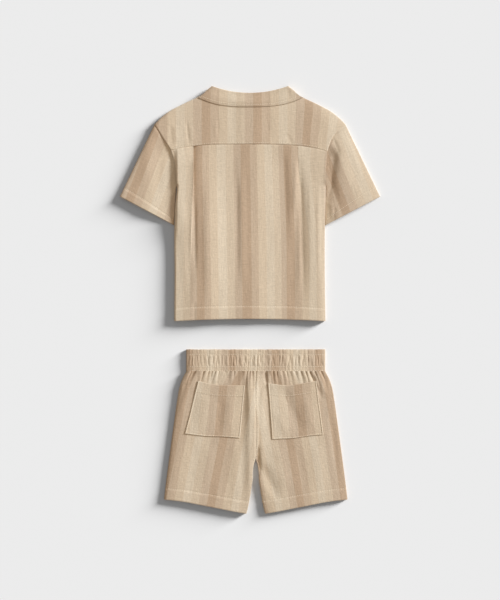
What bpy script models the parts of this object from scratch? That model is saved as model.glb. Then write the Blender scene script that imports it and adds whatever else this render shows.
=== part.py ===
"""A small child's two-piece set, laid flat face down: a short-sleeved camp shirt and pull-on shorts.

Units are metres. +Z points up from the surface, +Y from the hem of the shorts to the shirt's collar,
and +X to the right of someone who looks down at the back of the clothes.
The fronts lie on the surface, the backs lie on the fronts, and every panel is a wall of cloth.
"""

import math
from collections import namedtuple

import bmesh
import bpy

# Cloth
CLOTH = 0.0015  # wall of the crinkled double gauze
SEAM = 0.0003  # clearance between pieces at a seam
LAYERS = 0.0066  # outside height of two layers lying on each other
FOLD_RADIUS = 0.005  # plan radius of the soft fold along a side
HEM_RAISE = 0.0006  # extra height where a hem is turned up
YOKE_RAISE = 0.0005  # the yoke is double and stands a little higher

# Shirt outline, right half, in plan
Point = namedtuple("Point", "x y")
SHOULDER = (Point(0.0800, 0.3690), Point(0.1040, 0.3600), Point(0.1270, 0.3490), Point(0.1470, 0.3380),
            Point(0.1600, 0.3275), Point(0.1715, 0.3160))
ARMHOLE = (Point(0.1715, 0.3160), Point(0.1535, 0.2930), Point(0.1390, 0.2670), Point(0.1345, 0.2450),
           Point(0.1315, 0.2160), Point(0.1310, 0.2050))
SIDE = (Point(0.1310, 0.2050), Point(0.1345, 0.1350), Point(0.1350, 0.0500), Point(0.1355, -0.0380))
CUFF_OUTER = Point(0.2350, 0.1870)
CUFF_INNER = Point(0.1372, 0.1340)
UNDERARM = Point(0.1322, 0.2050)  # where the sleeve's own lower edge starts
NECK_CENTRE_Y = 0.3520
NECK_SIDE = SHOULDER[0]
YOKE_CORNER_Y = 0.2670
YOKE_SEAM_RISE = 0.0145
HEM_CENTRE_RISE = 0.0040
SHIRT_HEM = 0.022
SLEEVE_HEM = 0.018

# Shirt fronts, which lie underneath
FRONT_NECK = (Point(-0.0100, 0.2960), Point(0.0220, 0.3010), Point(0.0560, 0.3270), Point(0.0800, 0.3690))
OVERLAP = 0.010  # each front passes the centre line by this much
PLACKET_LIFT = 0.0023  # the placket bridges over the buttons
COLLAR_LIFT = 0.0018  # the fronts lie on the turned-down collar
BUTTON = {"radius": 0.0055, "height": 0.0020, "rim": 0.0009, "dish": 0.0005}
BUTTON_Y = (0.2720, 0.2040, 0.1360, 0.0680, 0.0000)

# Collar
COLLAR_FOLD = {"centre_y": 0.3726, "end": Point(0.0675, 0.3840)}
COLLAR_EDGE = {"centre_y": 0.3465, "end": Point(0.0945, 0.3657), "power": 2.4}
COLLAR_HEIGHT = LAYERS + YOKE_RAISE + SEAM + CLOTH
COLLAR_BEND = 0.0004  # air between the fall and the stand
COLLAR_DROOP = 0.0024
COLLAR_WING = {"notch": Point(0.0260, 0.3160), "tip": Point(0.0700, 0.2900)}

# Back pleats and the largest soft folds of the back
Pleat = namedtuple("Pleat", "share lean depth length")
PLEATS = (Pleat(-0.711, 0.000, 0.0022, 0.120), Pleat(0.654, 0.105, 0.0022, 0.140))
PLEAT_REACH = 0.011
Fold = namedtuple("Fold", "x_top x_low y_top y_low width height")
BACK_FOLDS = (
    Fold(-0.122, -0.118, 0.262, 0.020, 0.010, 0.0012),
    Fold(-0.080, -0.068, 0.250, 0.010, 0.012, 0.0008),
    Fold(-0.015, -0.013, 0.230, -0.030, 0.006, 0.0010),
    Fold(0.026, 0.034, 0.260, -0.030, 0.015, 0.0009),
    Fold(0.083, 0.076, 0.262, 0.000, 0.008, 0.0013),
    Fold(0.108, 0.112, 0.262, 0.010, 0.009, 0.0013),
)

# Shorts outline, right half, measured from their own centre line
SHORTS_X = 0.0104  # they lie this far to the right of the shirt's centre line
OUTSEAM = (Point(0.1250, -0.1279), Point(0.1330, -0.1440), Point(0.1375, -0.1580), Point(0.1410, -0.1780),
           Point(0.1470, -0.2200), Point(0.1557, -0.2840), Point(0.1635, -0.3450), Point(0.1650, -0.3585))
CENTRE_BACK = (Point(0.00015, -0.1279), Point(0.0008, -0.2870))
INSEAM = (Point(0.0008, -0.2870), Point(0.0036, -0.2960), Point(0.0062, -0.3280), Point(0.0095, -0.3490),
          Point(0.0135, -0.3710), Point(0.0168, -0.3840))
LEG_HEM = (Point(0.0168, -0.3840), Point(0.0300, -0.3816), Point(0.0820, -0.3715), Point(0.1430, -0.3605),
           Point(0.1650, -0.3585))
LEG_HEM_DEPTH = 0.020
GATHERS_PER_SIDE = 12
GATHER_HEIGHT = 0.0011
GATHER_FADE = 0.034

# Waistband: a casing with elastic in it, sewn through in rows
BAND = {"half_width": 0.1250, "top": -0.0889, "bottom": -0.1276, "wall": 0.0024, "height": 0.0076,
        "fold_radius": 0.004}
BAND_ROWS = (0.0889, 0.0925, 0.0968, 0.1020, 0.1078, 0.1136, 0.1188, 0.1230, 0.1276)
BAND_PUFF = (0.2, 0.7, 0.0, 0.8, 1.0, 0.8, 0.0, 0.7, 0.0)
BAND_GATHERS = 36
BAND_GATHER_HEIGHT = 0.0012

# Patch pockets
POCKET = {"top_in": Point(0.0200, -0.1515), "top_out": Point(0.1060, -0.1446),
          "low_out": Point(0.1245, -0.2405), "low_in": Point(0.0290, -0.2490)}
POCKET_SAG = 0.0030
POCKET_HEM = 0.0205
POCKET_PUFF = 0.0006

# Colours, as sRGB
STRAW = (0.80, 0.71, 0.60)
SAND = (0.77, 0.67, 0.55)
BUTTON_TAN = (0.62, 0.50, 0.38)


# Small helpers

def mix(a, b, t):
    return a + (b - a) * t


def smooth(t):
    t = min(1.0, max(0.0, t))
    return t * t * (3 - 2 * t)


def mirrored(points):
    return tuple(Point(-p.x, p.y) for p in points)


def moved(points, dx):
    return tuple(Point(p.x + dx, p.y) for p in points)


def lengths(points):
    """Distance along a polyline at each of its points."""
    total = [0.0]
    for a, b in zip(points, points[1:]):
        total.append(total[-1] + math.hypot(b.x - a.x, b.y - a.y))
    return total


def along(points):
    """The polyline as a function of the share of its length."""
    total = lengths(points)

    def at(t):
        want = t * total[-1]
        for i in range(len(points) - 1):
            if want <= total[i + 1] or i == len(points) - 2:
                share = (want - total[i]) / (total[i + 1] - total[i])
                return Point(mix(points[i].x, points[i + 1].x, share), mix(points[i].y, points[i + 1].y, share))

    return at


def share_at(points, index):
    """The share of a polyline's length at which one of its points lies."""
    total = lengths(points)
    return total[index] / total[-1]


def y_on(points, x):
    """Height in plan of a polyline that runs outwards, at x."""
    for a, b in zip(points, points[1:]):
        if x <= b.x:
            return mix(a.y, b.y, (x - a.x) / (b.x - a.x))
    return points[-1].y


def coons(top, bottom, left, right):
    """The patch between four boundary curves: top and bottom run along u, left and right along v."""
    corners = (top(0), top(1), bottom(0), bottom(1))

    def at(u, v):
        a, b, c, d = top(u), bottom(u), left(v), right(v)
        return Point(*(
            mix(a[k], b[k], v) + mix(c[k], d[k], u)
            - mix(mix(corners[0][k], corners[1][k], u), mix(corners[2][k], corners[3][k], u), v)
            for k in (0, 1)
        ))

    return at


def nearest(point, lines):
    """Distance to the nearest of several polylines, and the nearest place on it."""
    best, place = math.inf, point
    for line in lines:
        for a, b in zip(line, line[1:]):
            dx, dy = b.x - a.x, b.y - a.y
            t = ((point.x - a.x) * dx + (point.y - a.y) * dy) / (dx * dx + dy * dy)
            q = Point(*(mix(a[k], b[k], min(1.0, max(0.0, t))) for k in (0, 1)))
            far = math.hypot(point.x - q.x, point.y - q.y)
            if far < best:
                best, place = far, q
    return best, place


def bent(point, lines, centre, middle, surface, upper, radius=FOLD_RADIUS, depths=(0.0, CLOTH)):
    """The points of a layer at several depths under its outer surface, bent round the fold lines.

    surface is the height of the outer face where the layer lies flat, and middle that of the fold's own edge.
    The upper layer has its outer face up, and bends down to the fold. The lower one has it down, and bends up.
    """
    distance, place = nearest(point, lines)
    away = point
    if distance < 1e-6:
        away = Point(mix(point.x, centre.x, 0.001), mix(point.y, centre.y, 0.001))
        place = nearest(away, lines)[1]
    reach = math.hypot(away.x - place.x, away.y - place.y)
    cosine = max(0.0, 1 - distance / radius)
    sine = math.sqrt(1 - cosine * cosine)
    side = 1 if upper else -1
    points = []
    for depth in depths:
        shift = depth * cosine / reach
        points.append((
            point.x + (away.x - place.x) * shift,
            point.y + (away.y - place.y) * shift,
            middle + (surface - side * depth - middle) * sine,
        ))
    return points


def ridge(x, y, fold):
    """Height that a soft fold adds at a place."""
    share = (fold.y_top - y) / (fold.y_top - fold.y_low)
    centre = mix(fold.x_top, fold.x_low, share)
    ends = smooth(share / 0.15) * smooth((1 - share) / 0.35)
    return fold.height * ends * math.exp(-((x - centre) / fold.width) ** 2)


def spaced(start, end, count):
    return [mix(start, end, i / count) for i in range(count + 1)]


def closing(size, near=(0.0, 0.0006, 0.0020, 0.0045, 0.0090)):
    """Shares of a length that crowd at its start, where the cloth bends round a fold."""
    return [n / size for n in near]


def both_ends(size, inner):
    """Shares that crowd at both ends, with evenly spaced ones between."""
    start = closing(size)
    return start + [mix(start[-1], 1 - start[-1], i / inner) for i in range(1, inner)] + [1 - s for s in reversed(start)]


# Mesh and material

def linear(value):
    return value / 12.92 if value <= 0.04045 else ((value + 0.055) / 1.055) ** 2.4


def material(name, colour, roughness=0.9):
    made = bpy.data.materials.new(name)
    made.use_nodes = True
    shader = made.node_tree.nodes["Principled BSDF"]
    shader.inputs["Base Color"].default_value = (*map(linear, colour), 1)
    shader.inputs["Roughness"].default_value = roughness
    shader.inputs["Metallic"].default_value = 0.0
    return made


def wall(name, outer, inner, colour, ring=False):
    """A closed body between two grids of points, given as rows. In a ring the last column meets the first."""
    made = bmesh.new()
    rows, columns = len(outer), len(outer[0])
    grids = [[[made.verts.new(p) for p in row] for row in grid] for grid in (outer, inner)]
    steps = columns if ring else columns - 1
    for i in range(rows - 1):
        for j in range(steps):
            k = (j + 1) % columns
            for grid in grids:
                made.faces.new((grid[i][j], grid[i][k], grid[i + 1][k], grid[i + 1][j]))
    for i in (0, rows - 1):
        for j in range(steps):
            k = (j + 1) % columns
            made.faces.new((grids[0][i][j], grids[0][i][k], grids[1][i][k], grids[1][i][j]))
    if not ring:
        for j in (0, columns - 1):
            for i in range(rows - 1):
                made.faces.new((grids[0][i][j], grids[0][i + 1][j], grids[1][i + 1][j], grids[1][i][j]))
    bmesh.ops.recalc_face_normals(made, faces=made.faces)
    mesh = bpy.data.meshes.new(name)
    made.to_mesh(mesh)
    made.free()
    mesh.shade_smooth()
    mesh.set_sharp_from_angle(angle=math.radians(50))
    mesh.materials.append(material(name + "_cloth", colour))
    made = bpy.data.objects.new(name, mesh)
    bpy.context.scene.collection.objects.link(made)
    return made


def panel(name, patch, columns, rows, lift, colour):
    """A panel from its patch: lift gives the outer and the inner point over a place in plan."""
    grid = [[lift(patch(u, v), u, v) for u in columns] for v in rows]
    return wall(name, [[p[0] for p in row] for row in grid], [[p[1] for p in row] for row in grid], colour)


# Shirt

MIDDLE = LAYERS / 2
ABOVE, BELOW = MIDDLE + SEAM / 2, MIDDLE - SEAM / 2
SHOULDER_FOLDS = (SHOULDER + (CUFF_OUTER,), mirrored(SHOULDER + (CUFF_OUTER,)))
SIDE_FOLDS = (SIDE, mirrored(SIDE))
BODY_CENTRE = Point(0.0, 0.2)
YOKE_SHARES = (0, 0.012, 0.04, 0.09, 0.18, 0.42, 0.71, 1)
ARM_SHARES = (0, 0.26, 0.52, 0.75, 0.86, 0.93, 0.97, 0.99, 1)


def yoke_seam_y(x):
    return YOKE_CORNER_Y + YOKE_SEAM_RISE * (1 - (abs(x) / ARMHOLE[2].x) ** 3)


def neck_y(x):
    return NECK_CENTRE_Y + (NECK_SIDE.y - NECK_CENTRE_Y) * (x / NECK_SIDE.x) ** 2


def shirt_hem_y(x):
    return SIDE[-1].y + HEM_CENTRE_RISE * (1 - (x / SIDE[-1].x) ** 2)


def centre_crown(x):
    """The back rises over the double placket."""
    return 0.0009 * (1 - smooth((abs(x) - 0.010) / 0.020))


def pleat_step(x, y, share, pleat):
    """The under layer of a knife pleat sinks beside its fold, towards the centre."""
    fade = 1 - smooth((yoke_seam_y(x) - y) / pleat.length)
    inwards = (pleat.share - share) * math.copysign(1, pleat.share) * SIDE[0].x
    if inwards < 0:
        return 0.25 * pleat.depth * fade * math.exp(inwards / PLEAT_REACH)
    return -0.45 * pleat.depth * fade * math.exp(-inwards / PLEAT_REACH)


def leaned(u):
    """Moves a column sideways down the panel, so that a pleat runs as it falls."""
    def at(v):
        share = 2 * u - 1
        fall = smooth(v / 0.3)
        return u + sum(p.lean / 2 * fall * max(0.0, 1 - abs(share - p.share) / 0.25) for p in PLEATS)
    return at


def shirt_yoke():
    def top(u):
        x = mix(-SHOULDER[-1].x, SHOULDER[-1].x, u)
        return Point(x, neck_y(x) if abs(x) < NECK_SIDE.x else y_on(SHOULDER, abs(x)))

    def bottom(u):
        x = mix(-ARMHOLE[2].x, ARMHOLE[2].x, u)
        return Point(x, yoke_seam_y(x))

    right = along(ARMHOLE[:3])
    left = along(mirrored(ARMHOLE[:3]))
    neck = NECK_SIDE.x / SHOULDER[-1].x
    shoulder = [s.x / SHOULDER[-1].x for s in SHOULDER[1:]]
    half = [0.0, 0.12, 0.24, 0.36, neck] + [mix(neck, shoulder[0], 0.5)] + shoulder
    columns = sorted({0.5 + h / 2 for h in half} | {0.5 - h / 2 for h in half})

    def lift(p, u, v):
        surface = LAYERS + YOKE_RAISE + centre_crown(p.x)
        return bent(p, SHOULDER_FOLDS, BODY_CENTRE, ABOVE, surface, True, depths=(0.0, CLOTH + YOKE_RAISE))

    return panel("shirt_yoke", coons(top, bottom, left, right), columns, YOKE_SHARES, lift, STRAW)


def body_rows():
    """Shares of the body's edge from the yoke's corner to the hem, crowded at the underarm and at the hem."""
    edge = ARMHOLE[2:] + SIDE[1:]
    arm = share_at(edge, 3)
    hem = 1 - SHIRT_HEM / lengths(edge)[-1]
    rows = [max(a * arm, SEAM / lengths(edge)[-1]) for a in ARM_SHARES]
    rows += spaced(arm, hem, 9)[1:] + [hem + 0.003, 1]
    return edge, rows, hem


def shirt_back():
    edge, rows, hem = body_rows()
    width = 2 * SIDE[0].x
    columns = both_ends(width, 22)
    for pleat in PLEATS:
        line = 0.5 + pleat.share / 2
        columns = [c for c in columns if abs(c - line) > 0.012] + [line - 0.003, line + 0.003]
    columns.sort()

    def top(u):
        x = mix(-ARMHOLE[2].x, ARMHOLE[2].x, u)
        return Point(x, yoke_seam_y(x))

    def bottom(u):
        x = mix(-SIDE[-1].x, SIDE[-1].x, u)
        return Point(x, shirt_hem_y(x))

    flat = coons(top, bottom, along(mirrored(edge)), along(edge))

    def lift(p, u, v):
        raised = HEM_RAISE * smooth((v - hem) / 0.004)
        folds = sum(ridge(p.x, p.y, f) for f in BACK_FOLDS)
        folds += sum(pleat_step(p.x, p.y, 2 * u - 1, f) for f in PLEATS)
        plain = LAYERS + centre_crown(p.x)
        outer = bent(p, SIDE_FOLDS, BODY_CENTRE, ABOVE, plain + folds + raised, True)[0]
        inner = bent(p, SIDE_FOLDS, BODY_CENTRE, ABOVE, plain, True)[1]
        return outer, inner

    def patch(u, v):
        return flat(leaned(u)(v), v)

    return panel("shirt_back", patch, columns, rows, lift, STRAW)


def front_underside(x, y):
    """Height of a front's outer face over the surface: flat, but over the collar and the buttons."""
    collar = COLLAR_LIFT * (1 - smooth((abs(x) - 0.097) / 0.018)) * smooth((y - 0.262) / 0.020)
    placket = PLACKET_LIFT * (1 - smooth((abs(x) - 0.011) / 0.010))
    return max(collar, placket)


def shirt_front(side):
    """One front. side is 1 for the right one, which lies inside at the placket, and -1 for the left."""
    edge, body, hem = body_rows()
    armhole = ARMHOLE + SIDE[1:]
    yoke_part = lengths(ARMHOLE)[2] / lengths(armhole)[-1]
    rows = [s * yoke_part for s in YOKE_SHARES] + [mix(yoke_part, 1, b) for b in body[1:]]
    hem = mix(yoke_part, 1, hem)
    neck = FRONT_NECK + SHOULDER[1:]
    neck_share = share_at(neck, 3)
    columns = [0.0, 0.045, 0.075, 0.0982, 0.118, 0.15, 0.21, 0.28, 0.35, neck_share]
    columns += [share_at(neck, i) for i in range(4, len(neck))]
    columns = [c for c in columns if c < 0.93] + [0.955, 0.978, 0.99, 0.997, 1.0]

    def bottom(u):
        x = mix(-OVERLAP, SIDE[-1].x, u)
        return Point(x, shirt_hem_y(x))

    centre = along((FRONT_NECK[0], bottom(0)))
    patch = coons(along(neck), bottom, centre, along(armhole))

    def lift(p, u, v):
        floor = front_underside(p.x, p.y)
        if side > 0:
            floor += (CLOTH + SEAM) * (1 - smooth((p.x - 0.0112) / 0.009))
        turned = HEM_RAISE * smooth((v - hem) / 0.004) * smooth((p.x - OVERLAP) / 0.015)
        at = Point(side * p.x, p.y)
        outer = bent(at, SHOULDER_FOLDS + SIDE_FOLDS, BODY_CENTRE, BELOW, floor, False)[0]
        inner = bent(at, SHOULDER_FOLDS + SIDE_FOLDS, BODY_CENTRE, BELOW, floor + turned, False)[1]
        return outer, inner

    name = "shirt_front_right" if side > 0 else "shirt_front_left"
    return panel(name, patch, columns, rows, lift, STRAW)


def sleeve(side):
    """A short sleeve: a flattened tube with a fold along its top and its seam along its lower edge."""
    name = "sleeve_right" if side > 0 else "sleeve_left"
    armhole = ARMHOLE[:-1] + (UNDERARM,)
    length = math.hypot(CUFF_OUTER.x - ARMHOLE[0].x, CUFF_OUTER.y - ARMHOLE[0].y)
    yoke_part = share_at(armhole, 2)
    columns = [s * yoke_part for s in YOKE_SHARES] + [mix(yoke_part, 1, s) for s in ARM_SHARES[1:]]
    hem = 1 - SLEEVE_HEM / length
    rows = [1.4 * SEAM / length, 0.05, 0.14, 0.28, 0.42, 0.56, 0.70, hem, hem + 0.012, 1]
    patch = coons(along(armhole), along((CUFF_OUTER, CUFF_INNER)), along((ARMHOLE[0], CUFF_OUTER)),
                  along((UNDERARM, CUFF_INNER)))
    under = (UNDERARM, CUFF_INNER)
    folds = (SHOULDER + (CUFF_OUTER,), under)
    centre = Point(0.175, 0.22)

    def layer(p, v, upper):
        sink = 0.0022 * smooth(v / 0.3) * (1 - smooth(nearest(p, (under,))[0] / 0.022))
        turned = HEM_RAISE * smooth((v - hem) / 0.012)
        surface = LAYERS - sink if upper else 0.0
        outer = bent(p, folds, centre, MIDDLE, surface + (turned if upper else 0.0), upper)[0]
        inner = bent(p, folds, centre, MIDDLE, surface + (0.0 if upper else turned), upper)[1]
        return [(side * q[0], q[1], q[2]) for q in (outer, inner)]

    around = [(u, True) for u in columns] + [(u, False) for u in reversed(columns[1:-1])]
    grid = [[layer(patch(u, v), v, upper) for u, upper in around] for v in rows]
    return wall(name, [[p[0] for p in row] for row in grid], [[p[1] for p in row] for row in grid], STRAW, ring=True)


# Collar

COLLAR_ENDS = ((COLLAR_FOLD["end"], COLLAR_EDGE["end"]), mirrored((COLLAR_FOLD["end"], COLLAR_EDGE["end"])))
COLLAR_CENTRE = Point(0.0, 0.34)
COLLAR_MIDDLE = COLLAR_HEIGHT / 2


def collar_fold(u):
    end = COLLAR_FOLD["end"]
    return Point(u * end.x, mix(COLLAR_FOLD["centre_y"], end.y, u * u))


def collar_edge(u):
    end = COLLAR_EDGE["end"]
    return Point(u * end.x, mix(COLLAR_EDGE["centre_y"], end.y, abs(u) ** COLLAR_EDGE["power"]))


def collar_seam(u):
    """The stand's lower edge, just above the yoke's neck edge."""
    end = Point(*(mix(COLLAR_FOLD["end"][k], COLLAR_EDGE["end"][k], 0.55) for k in (0, 1)))
    x = u * end.x
    rise = end.y - neck_y(end.x) - SEAM
    return Point(x, neck_y(x) + SEAM + rise * u ** 4)


def collar_back():
    """The collar behind the neck: the stand goes up from the neck seam, and the fall turns down over the yoke."""
    stations = [-1 + s for s in closing(0.0945)] + spaced(-0.85, 0.85, 14) + [1 - s for s in reversed(closing(0.0945))]
    bend = CLOTH + COLLAR_BEND / 2  # half the height of the folded collar
    turn = [math.pi * k / 6 for k in range(7)]

    def section(u):
        """(place in plan, depth of the outer face, depth of the inner face) from the neck seam to the free edge."""
        seam, fold, edge = collar_seam(u), collar_fold(u), collar_edge(u)
        points = []

        def add(a, b, share, outer_depth, inner_depth, outer_in, inner_in):
            reach = math.hypot(b.x - a.x, b.y - a.y)
            place = [Point(*(mix(b[k], a[k], share + push / reach) for k in (0, 1))) for push in (outer_in, inner_in)]
            points.append((place[0], place[1], outer_depth, inner_depth))

        under, over = 2 * bend, 0.0
        for share in (1.0, 0.66, 0.33):
            add(seam, fold, share, under, under - CLOTH, 0.0 if share == 1 else bend, 0.0 if share == 1 else bend)
        for angle in turn:
            add(edge, fold, 0.0, bend + bend * math.cos(angle), bend + (bend - CLOTH) * math.cos(angle),
                bend - bend * math.sin(angle), bend - (bend - CLOTH) * math.sin(angle))
        for share in (0.33, 0.62, 0.80, 1.0):
            add(edge, fold, share, over, CLOTH, 0.0 if share == 1 else bend * (1 - share),
                0.0 if share == 1 else bend * (1 - share))
        return points

    outer, inner = [], []
    for u in stations:
        rows = ([], [])
        for place_out, place_in, depth_out, depth_in in section(u):
            for row, place, depth in ((rows[0], place_out, depth_out), (rows[1], place_in, depth_in)):
                over_neck = smooth((place.y - collar_seam(u).y) / (collar_fold(u).y - collar_seam(u).y))
                droop = COLLAR_DROOP * over_neck * (1 - u * u)
                surface = COLLAR_HEIGHT + centre_crown(place.x)
                at = bent(place, COLLAR_ENDS, COLLAR_CENTRE, COLLAR_MIDDLE + SEAM / 2, surface, True, depths=(depth,))[0]
                row.append((at[0], at[1], at[2] - droop))
        outer.append(rows[0])
        inner.append(rows[1])
    return wall("collar", outer, inner, SAND)


def collar_wing(side):
    """The collar's front part, turned down under a front."""
    fold, edge = COLLAR_FOLD["end"], COLLAR_EDGE["end"]
    notch, tip = COLLAR_WING["notch"], COLLAR_WING["tip"]
    patch = coons(along((fold, edge)), along((notch, tip)), along((fold, notch)), along((edge, tip)))
    length = math.hypot(fold.x - notch.x, fold.y - notch.y)
    rows = closing(length) + [0.3, 0.6, 1.0]
    line = (COLLAR_ENDS[0],)

    def lift(p, u, v):
        points = bent(p, line, Point(0.05, 0.33), COLLAR_MIDDLE - SEAM / 2, 0.0, False)
        return [(side * q[0], q[1], q[2]) for q in points]

    name = "collar_wing_right" if side > 0 else "collar_wing_left"
    return panel(name, patch, spaced(0, 1, 4), rows, lift, SAND)


def button(index, y):
    """A turned button with a raised rim and a dished face, which faces the surface."""
    radius, height, rim, dish = (BUTTON[k] for k in ("radius", "height", "rim", "dish"))
    profile = ((0, dish), (radius - 2 * rim, dish), (radius - rim, 0), (radius - 0.3 * rim, 0),
               (radius, 0.3 * rim), (radius, height - 0.3 * rim), (radius - 0.4 * rim, height), (0, height))
    made = bmesh.new()
    line = [made.verts.new((r, 0, z)) for r, z in profile]
    edges = [made.edges.new(pair) for pair in zip(line, line[1:])]
    bmesh.ops.spin(made, geom=line + edges, cent=(0, 0, 0), axis=(0, 0, 1), angle=math.tau, steps=20, use_merge=True)
    bmesh.ops.remove_doubles(made, verts=made.verts, dist=1e-6)
    bmesh.ops.recalc_face_normals(made, faces=made.faces)
    mesh = bpy.data.meshes.new(f"button_{index}")
    made.to_mesh(mesh)
    made.free()
    mesh.shade_smooth()
    mesh.set_sharp_from_angle(angle=math.radians(40))
    mesh.materials.append(material(f"button_{index}_corozo", BUTTON_TAN, 0.45))
    made = bpy.data.objects.new(f"button_{index}", mesh)
    made.location = (0, y, 0)
    bpy.context.scene.collection.objects.link(made)


# Shorts

LEG = {side: {name: moved(line if side > 0 else mirrored(line), SHORTS_X)
              for name, line in (("out", OUTSEAM), ("centre", CENTRE_BACK), ("in", INSEAM), ("hem", LEG_HEM))}
       for side in (1, -1)}


def gather_height(y):
    """Height of the gathers under the waistband, which die out downwards."""
    return GATHER_HEIGHT * math.exp(-(OUTSEAM[0].y - y) / GATHER_FADE)


def leg_patch(side):
    lines = LEG[side]
    inner = lines["centre"] + lines["in"][1:]
    waist = along((lines["centre"][0], lines["out"][0]))
    return coons(waist, along(lines["hem"]), along(inner), along(lines["out"])), inner


def leg_rows(inner):
    crotch = share_at(inner, 1)
    total = lengths(inner)[-1]
    hem = 1 - LEG_HEM_DEPTH / total
    near = [0.0009, 0.0030, 0.0075]
    rows = [0.0, 0.03, 0.07, 0.13, 0.21, 0.32, 0.44] + [crotch - n / total for n in reversed(near)] + [crotch]
    rows += [crotch + n / total for n in near[1:]] + spaced(crotch, hem, 3)[1:] + [hem + 0.004, 1]
    return rows, hem


def leg_lift(side, upper, hem):
    folds = (LEG[side]["out"], LEG[side]["in"])
    centre = Point(SHORTS_X + side * 0.08, -0.27)

    def lift(p, u, v):
        turned = HEM_RAISE * smooth((v - hem) / 0.004)
        if not upper:
            outer = bent(p, folds, centre, BELOW, 0.0, False)[0]
            inner = bent(p, folds, centre, BELOW, turned, False)[1]
            return outer, inner
        wave = 0.5 - 0.5 * math.cos(math.tau * GATHERS_PER_SIDE * u)
        outer = bent(p, folds, centre, ABOVE, LAYERS + turned + gather_height(p.y) * wave, True)[0]
        inner = bent(p, folds, centre, ABOVE, LAYERS, True)[1]
        return outer, inner

    return lift


def shorts_panel(side, upper):
    patch, inner = leg_patch(side)
    rows, hem = leg_rows(inner)
    width = OUTSEAM[0].x
    if upper:
        columns = [0.0] + spaced(0, 1, 4 * GATHERS_PER_SIDE)[1:-1] + [1 - s for s in reversed(closing(width)[:4])]
        columns = sorted({round(c, 5) for c in columns} | {round(s, 5) for s in closing(width)[1:4]})
    else:
        columns = both_ends(width, 8)
    name = f"shorts_{'back' if upper else 'front'}_{'right' if side > 0 else 'left'}"
    return panel(name, patch, columns, rows, leg_lift(side, upper, hem), SAND)


def waistband():
    """A ring of gathered casing: the back layer on top, the front layer flat on the surface."""
    half, wall_depth, height, radius = (BAND[k] for k in ("half_width", "wall", "height", "fold_radius"))
    left = (Point(SHORTS_X - half, BAND["top"]), Point(SHORTS_X - half, BAND["bottom"]))
    right = (Point(SHORTS_X + half, BAND["top"]), Point(SHORTS_X + half, BAND["bottom"]))
    centre = Point(SHORTS_X, (BAND["top"] + BAND["bottom"]) / 2)
    ends = closing(2 * half)
    upper = sorted(set(ends[:4]) | set(spaced(0, 1, 4 * BAND_GATHERS)[3:-3]) | {1 - e for e in ends[:4]})
    lower = [1 - e for e in ends] + [0.5] + list(reversed(ends))
    outer, inner = [], []
    for y, puff in zip(BAND_ROWS, BAND_PUFF):
        rows = ([], [])
        for shares, on_top in ((upper, True), (lower[1:-1], False)):
            for u in shares:
                p = Point(mix(left[0].x, right[0].x, u), -y)
                raised = puff * BAND_GATHER_HEIGHT * (0.35 - 0.65 * math.cos(math.tau * BAND_GATHERS * u)) if on_top else 0
                for k, row in enumerate(rows):
                    surface = height + (raised if k == 0 else 0) if on_top else 0.0
                    row.append(bent(p, (left, right), centre, height / 2, surface, on_top, radius, (k * wall_depth,))[0])
        outer.append(rows[0])
        inner.append(rows[1])
    return wall("waistband", outer, inner, SAND, ring=True)


def pocket(side):
    """A patch pocket, sewn on over a back panel, with a turned hem along its mouth."""
    corners = {k: Point(SHORTS_X + side * p.x, p.y) for k, p in POCKET.items()}

    def top(u):
        p = along((corners["top_in"], corners["top_out"]))(u)
        return Point(p.x, p.y - POCKET_SAG * math.sin(math.pi * u))

    patch = coons(top, along((corners["low_in"], corners["low_out"])),
                  along((corners["top_in"], corners["low_in"])), along((corners["top_out"], corners["low_out"])))
    depth = POCKET["top_in"].y - POCKET["low_in"].y
    hem = POCKET_HEM / depth
    rows = [0, 0.1, hem - 0.012, hem, 0.4, 0.6, 0.8, 0.96, 1]

    def lift(p, u, v):
        seat = LAYERS + gather_height(p.y) + SEAM
        turned = HEM_RAISE * (1 - smooth((v - hem + 0.012) / 0.012))
        puff = POCKET_PUFF * math.sin(math.pi * u) * math.sin(math.pi * v)
        return (p.x, p.y, seat + CLOTH + turned + puff), (p.x, p.y, seat)

    name = "pocket_right" if side > 0 else "pocket_left"
    return panel(name, patch, [0, 0.03, 0.15, 0.3, 0.45, 0.6, 0.75, 0.9, 0.97, 1], rows, lift, SAND)


def main():
    for obj in list(bpy.data.objects):
        bpy.data.objects.remove(obj)
    shirt_yoke()
    shirt_back()
    collar_back()
    waistband()
    for side in (1, -1):
        shirt_front(side)
        sleeve(side)
        collar_wing(side)
        shorts_panel(side, upper=True)
        shorts_panel(side, upper=False)
        pocket(side)
    for index, y in enumerate(BUTTON_Y, 1):
        button(index, y)


main()
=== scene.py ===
import math
from collections import namedtuple

import bmesh
import bpy
import numpy as np
from mathutils import Matrix, Vector, noise


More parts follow.
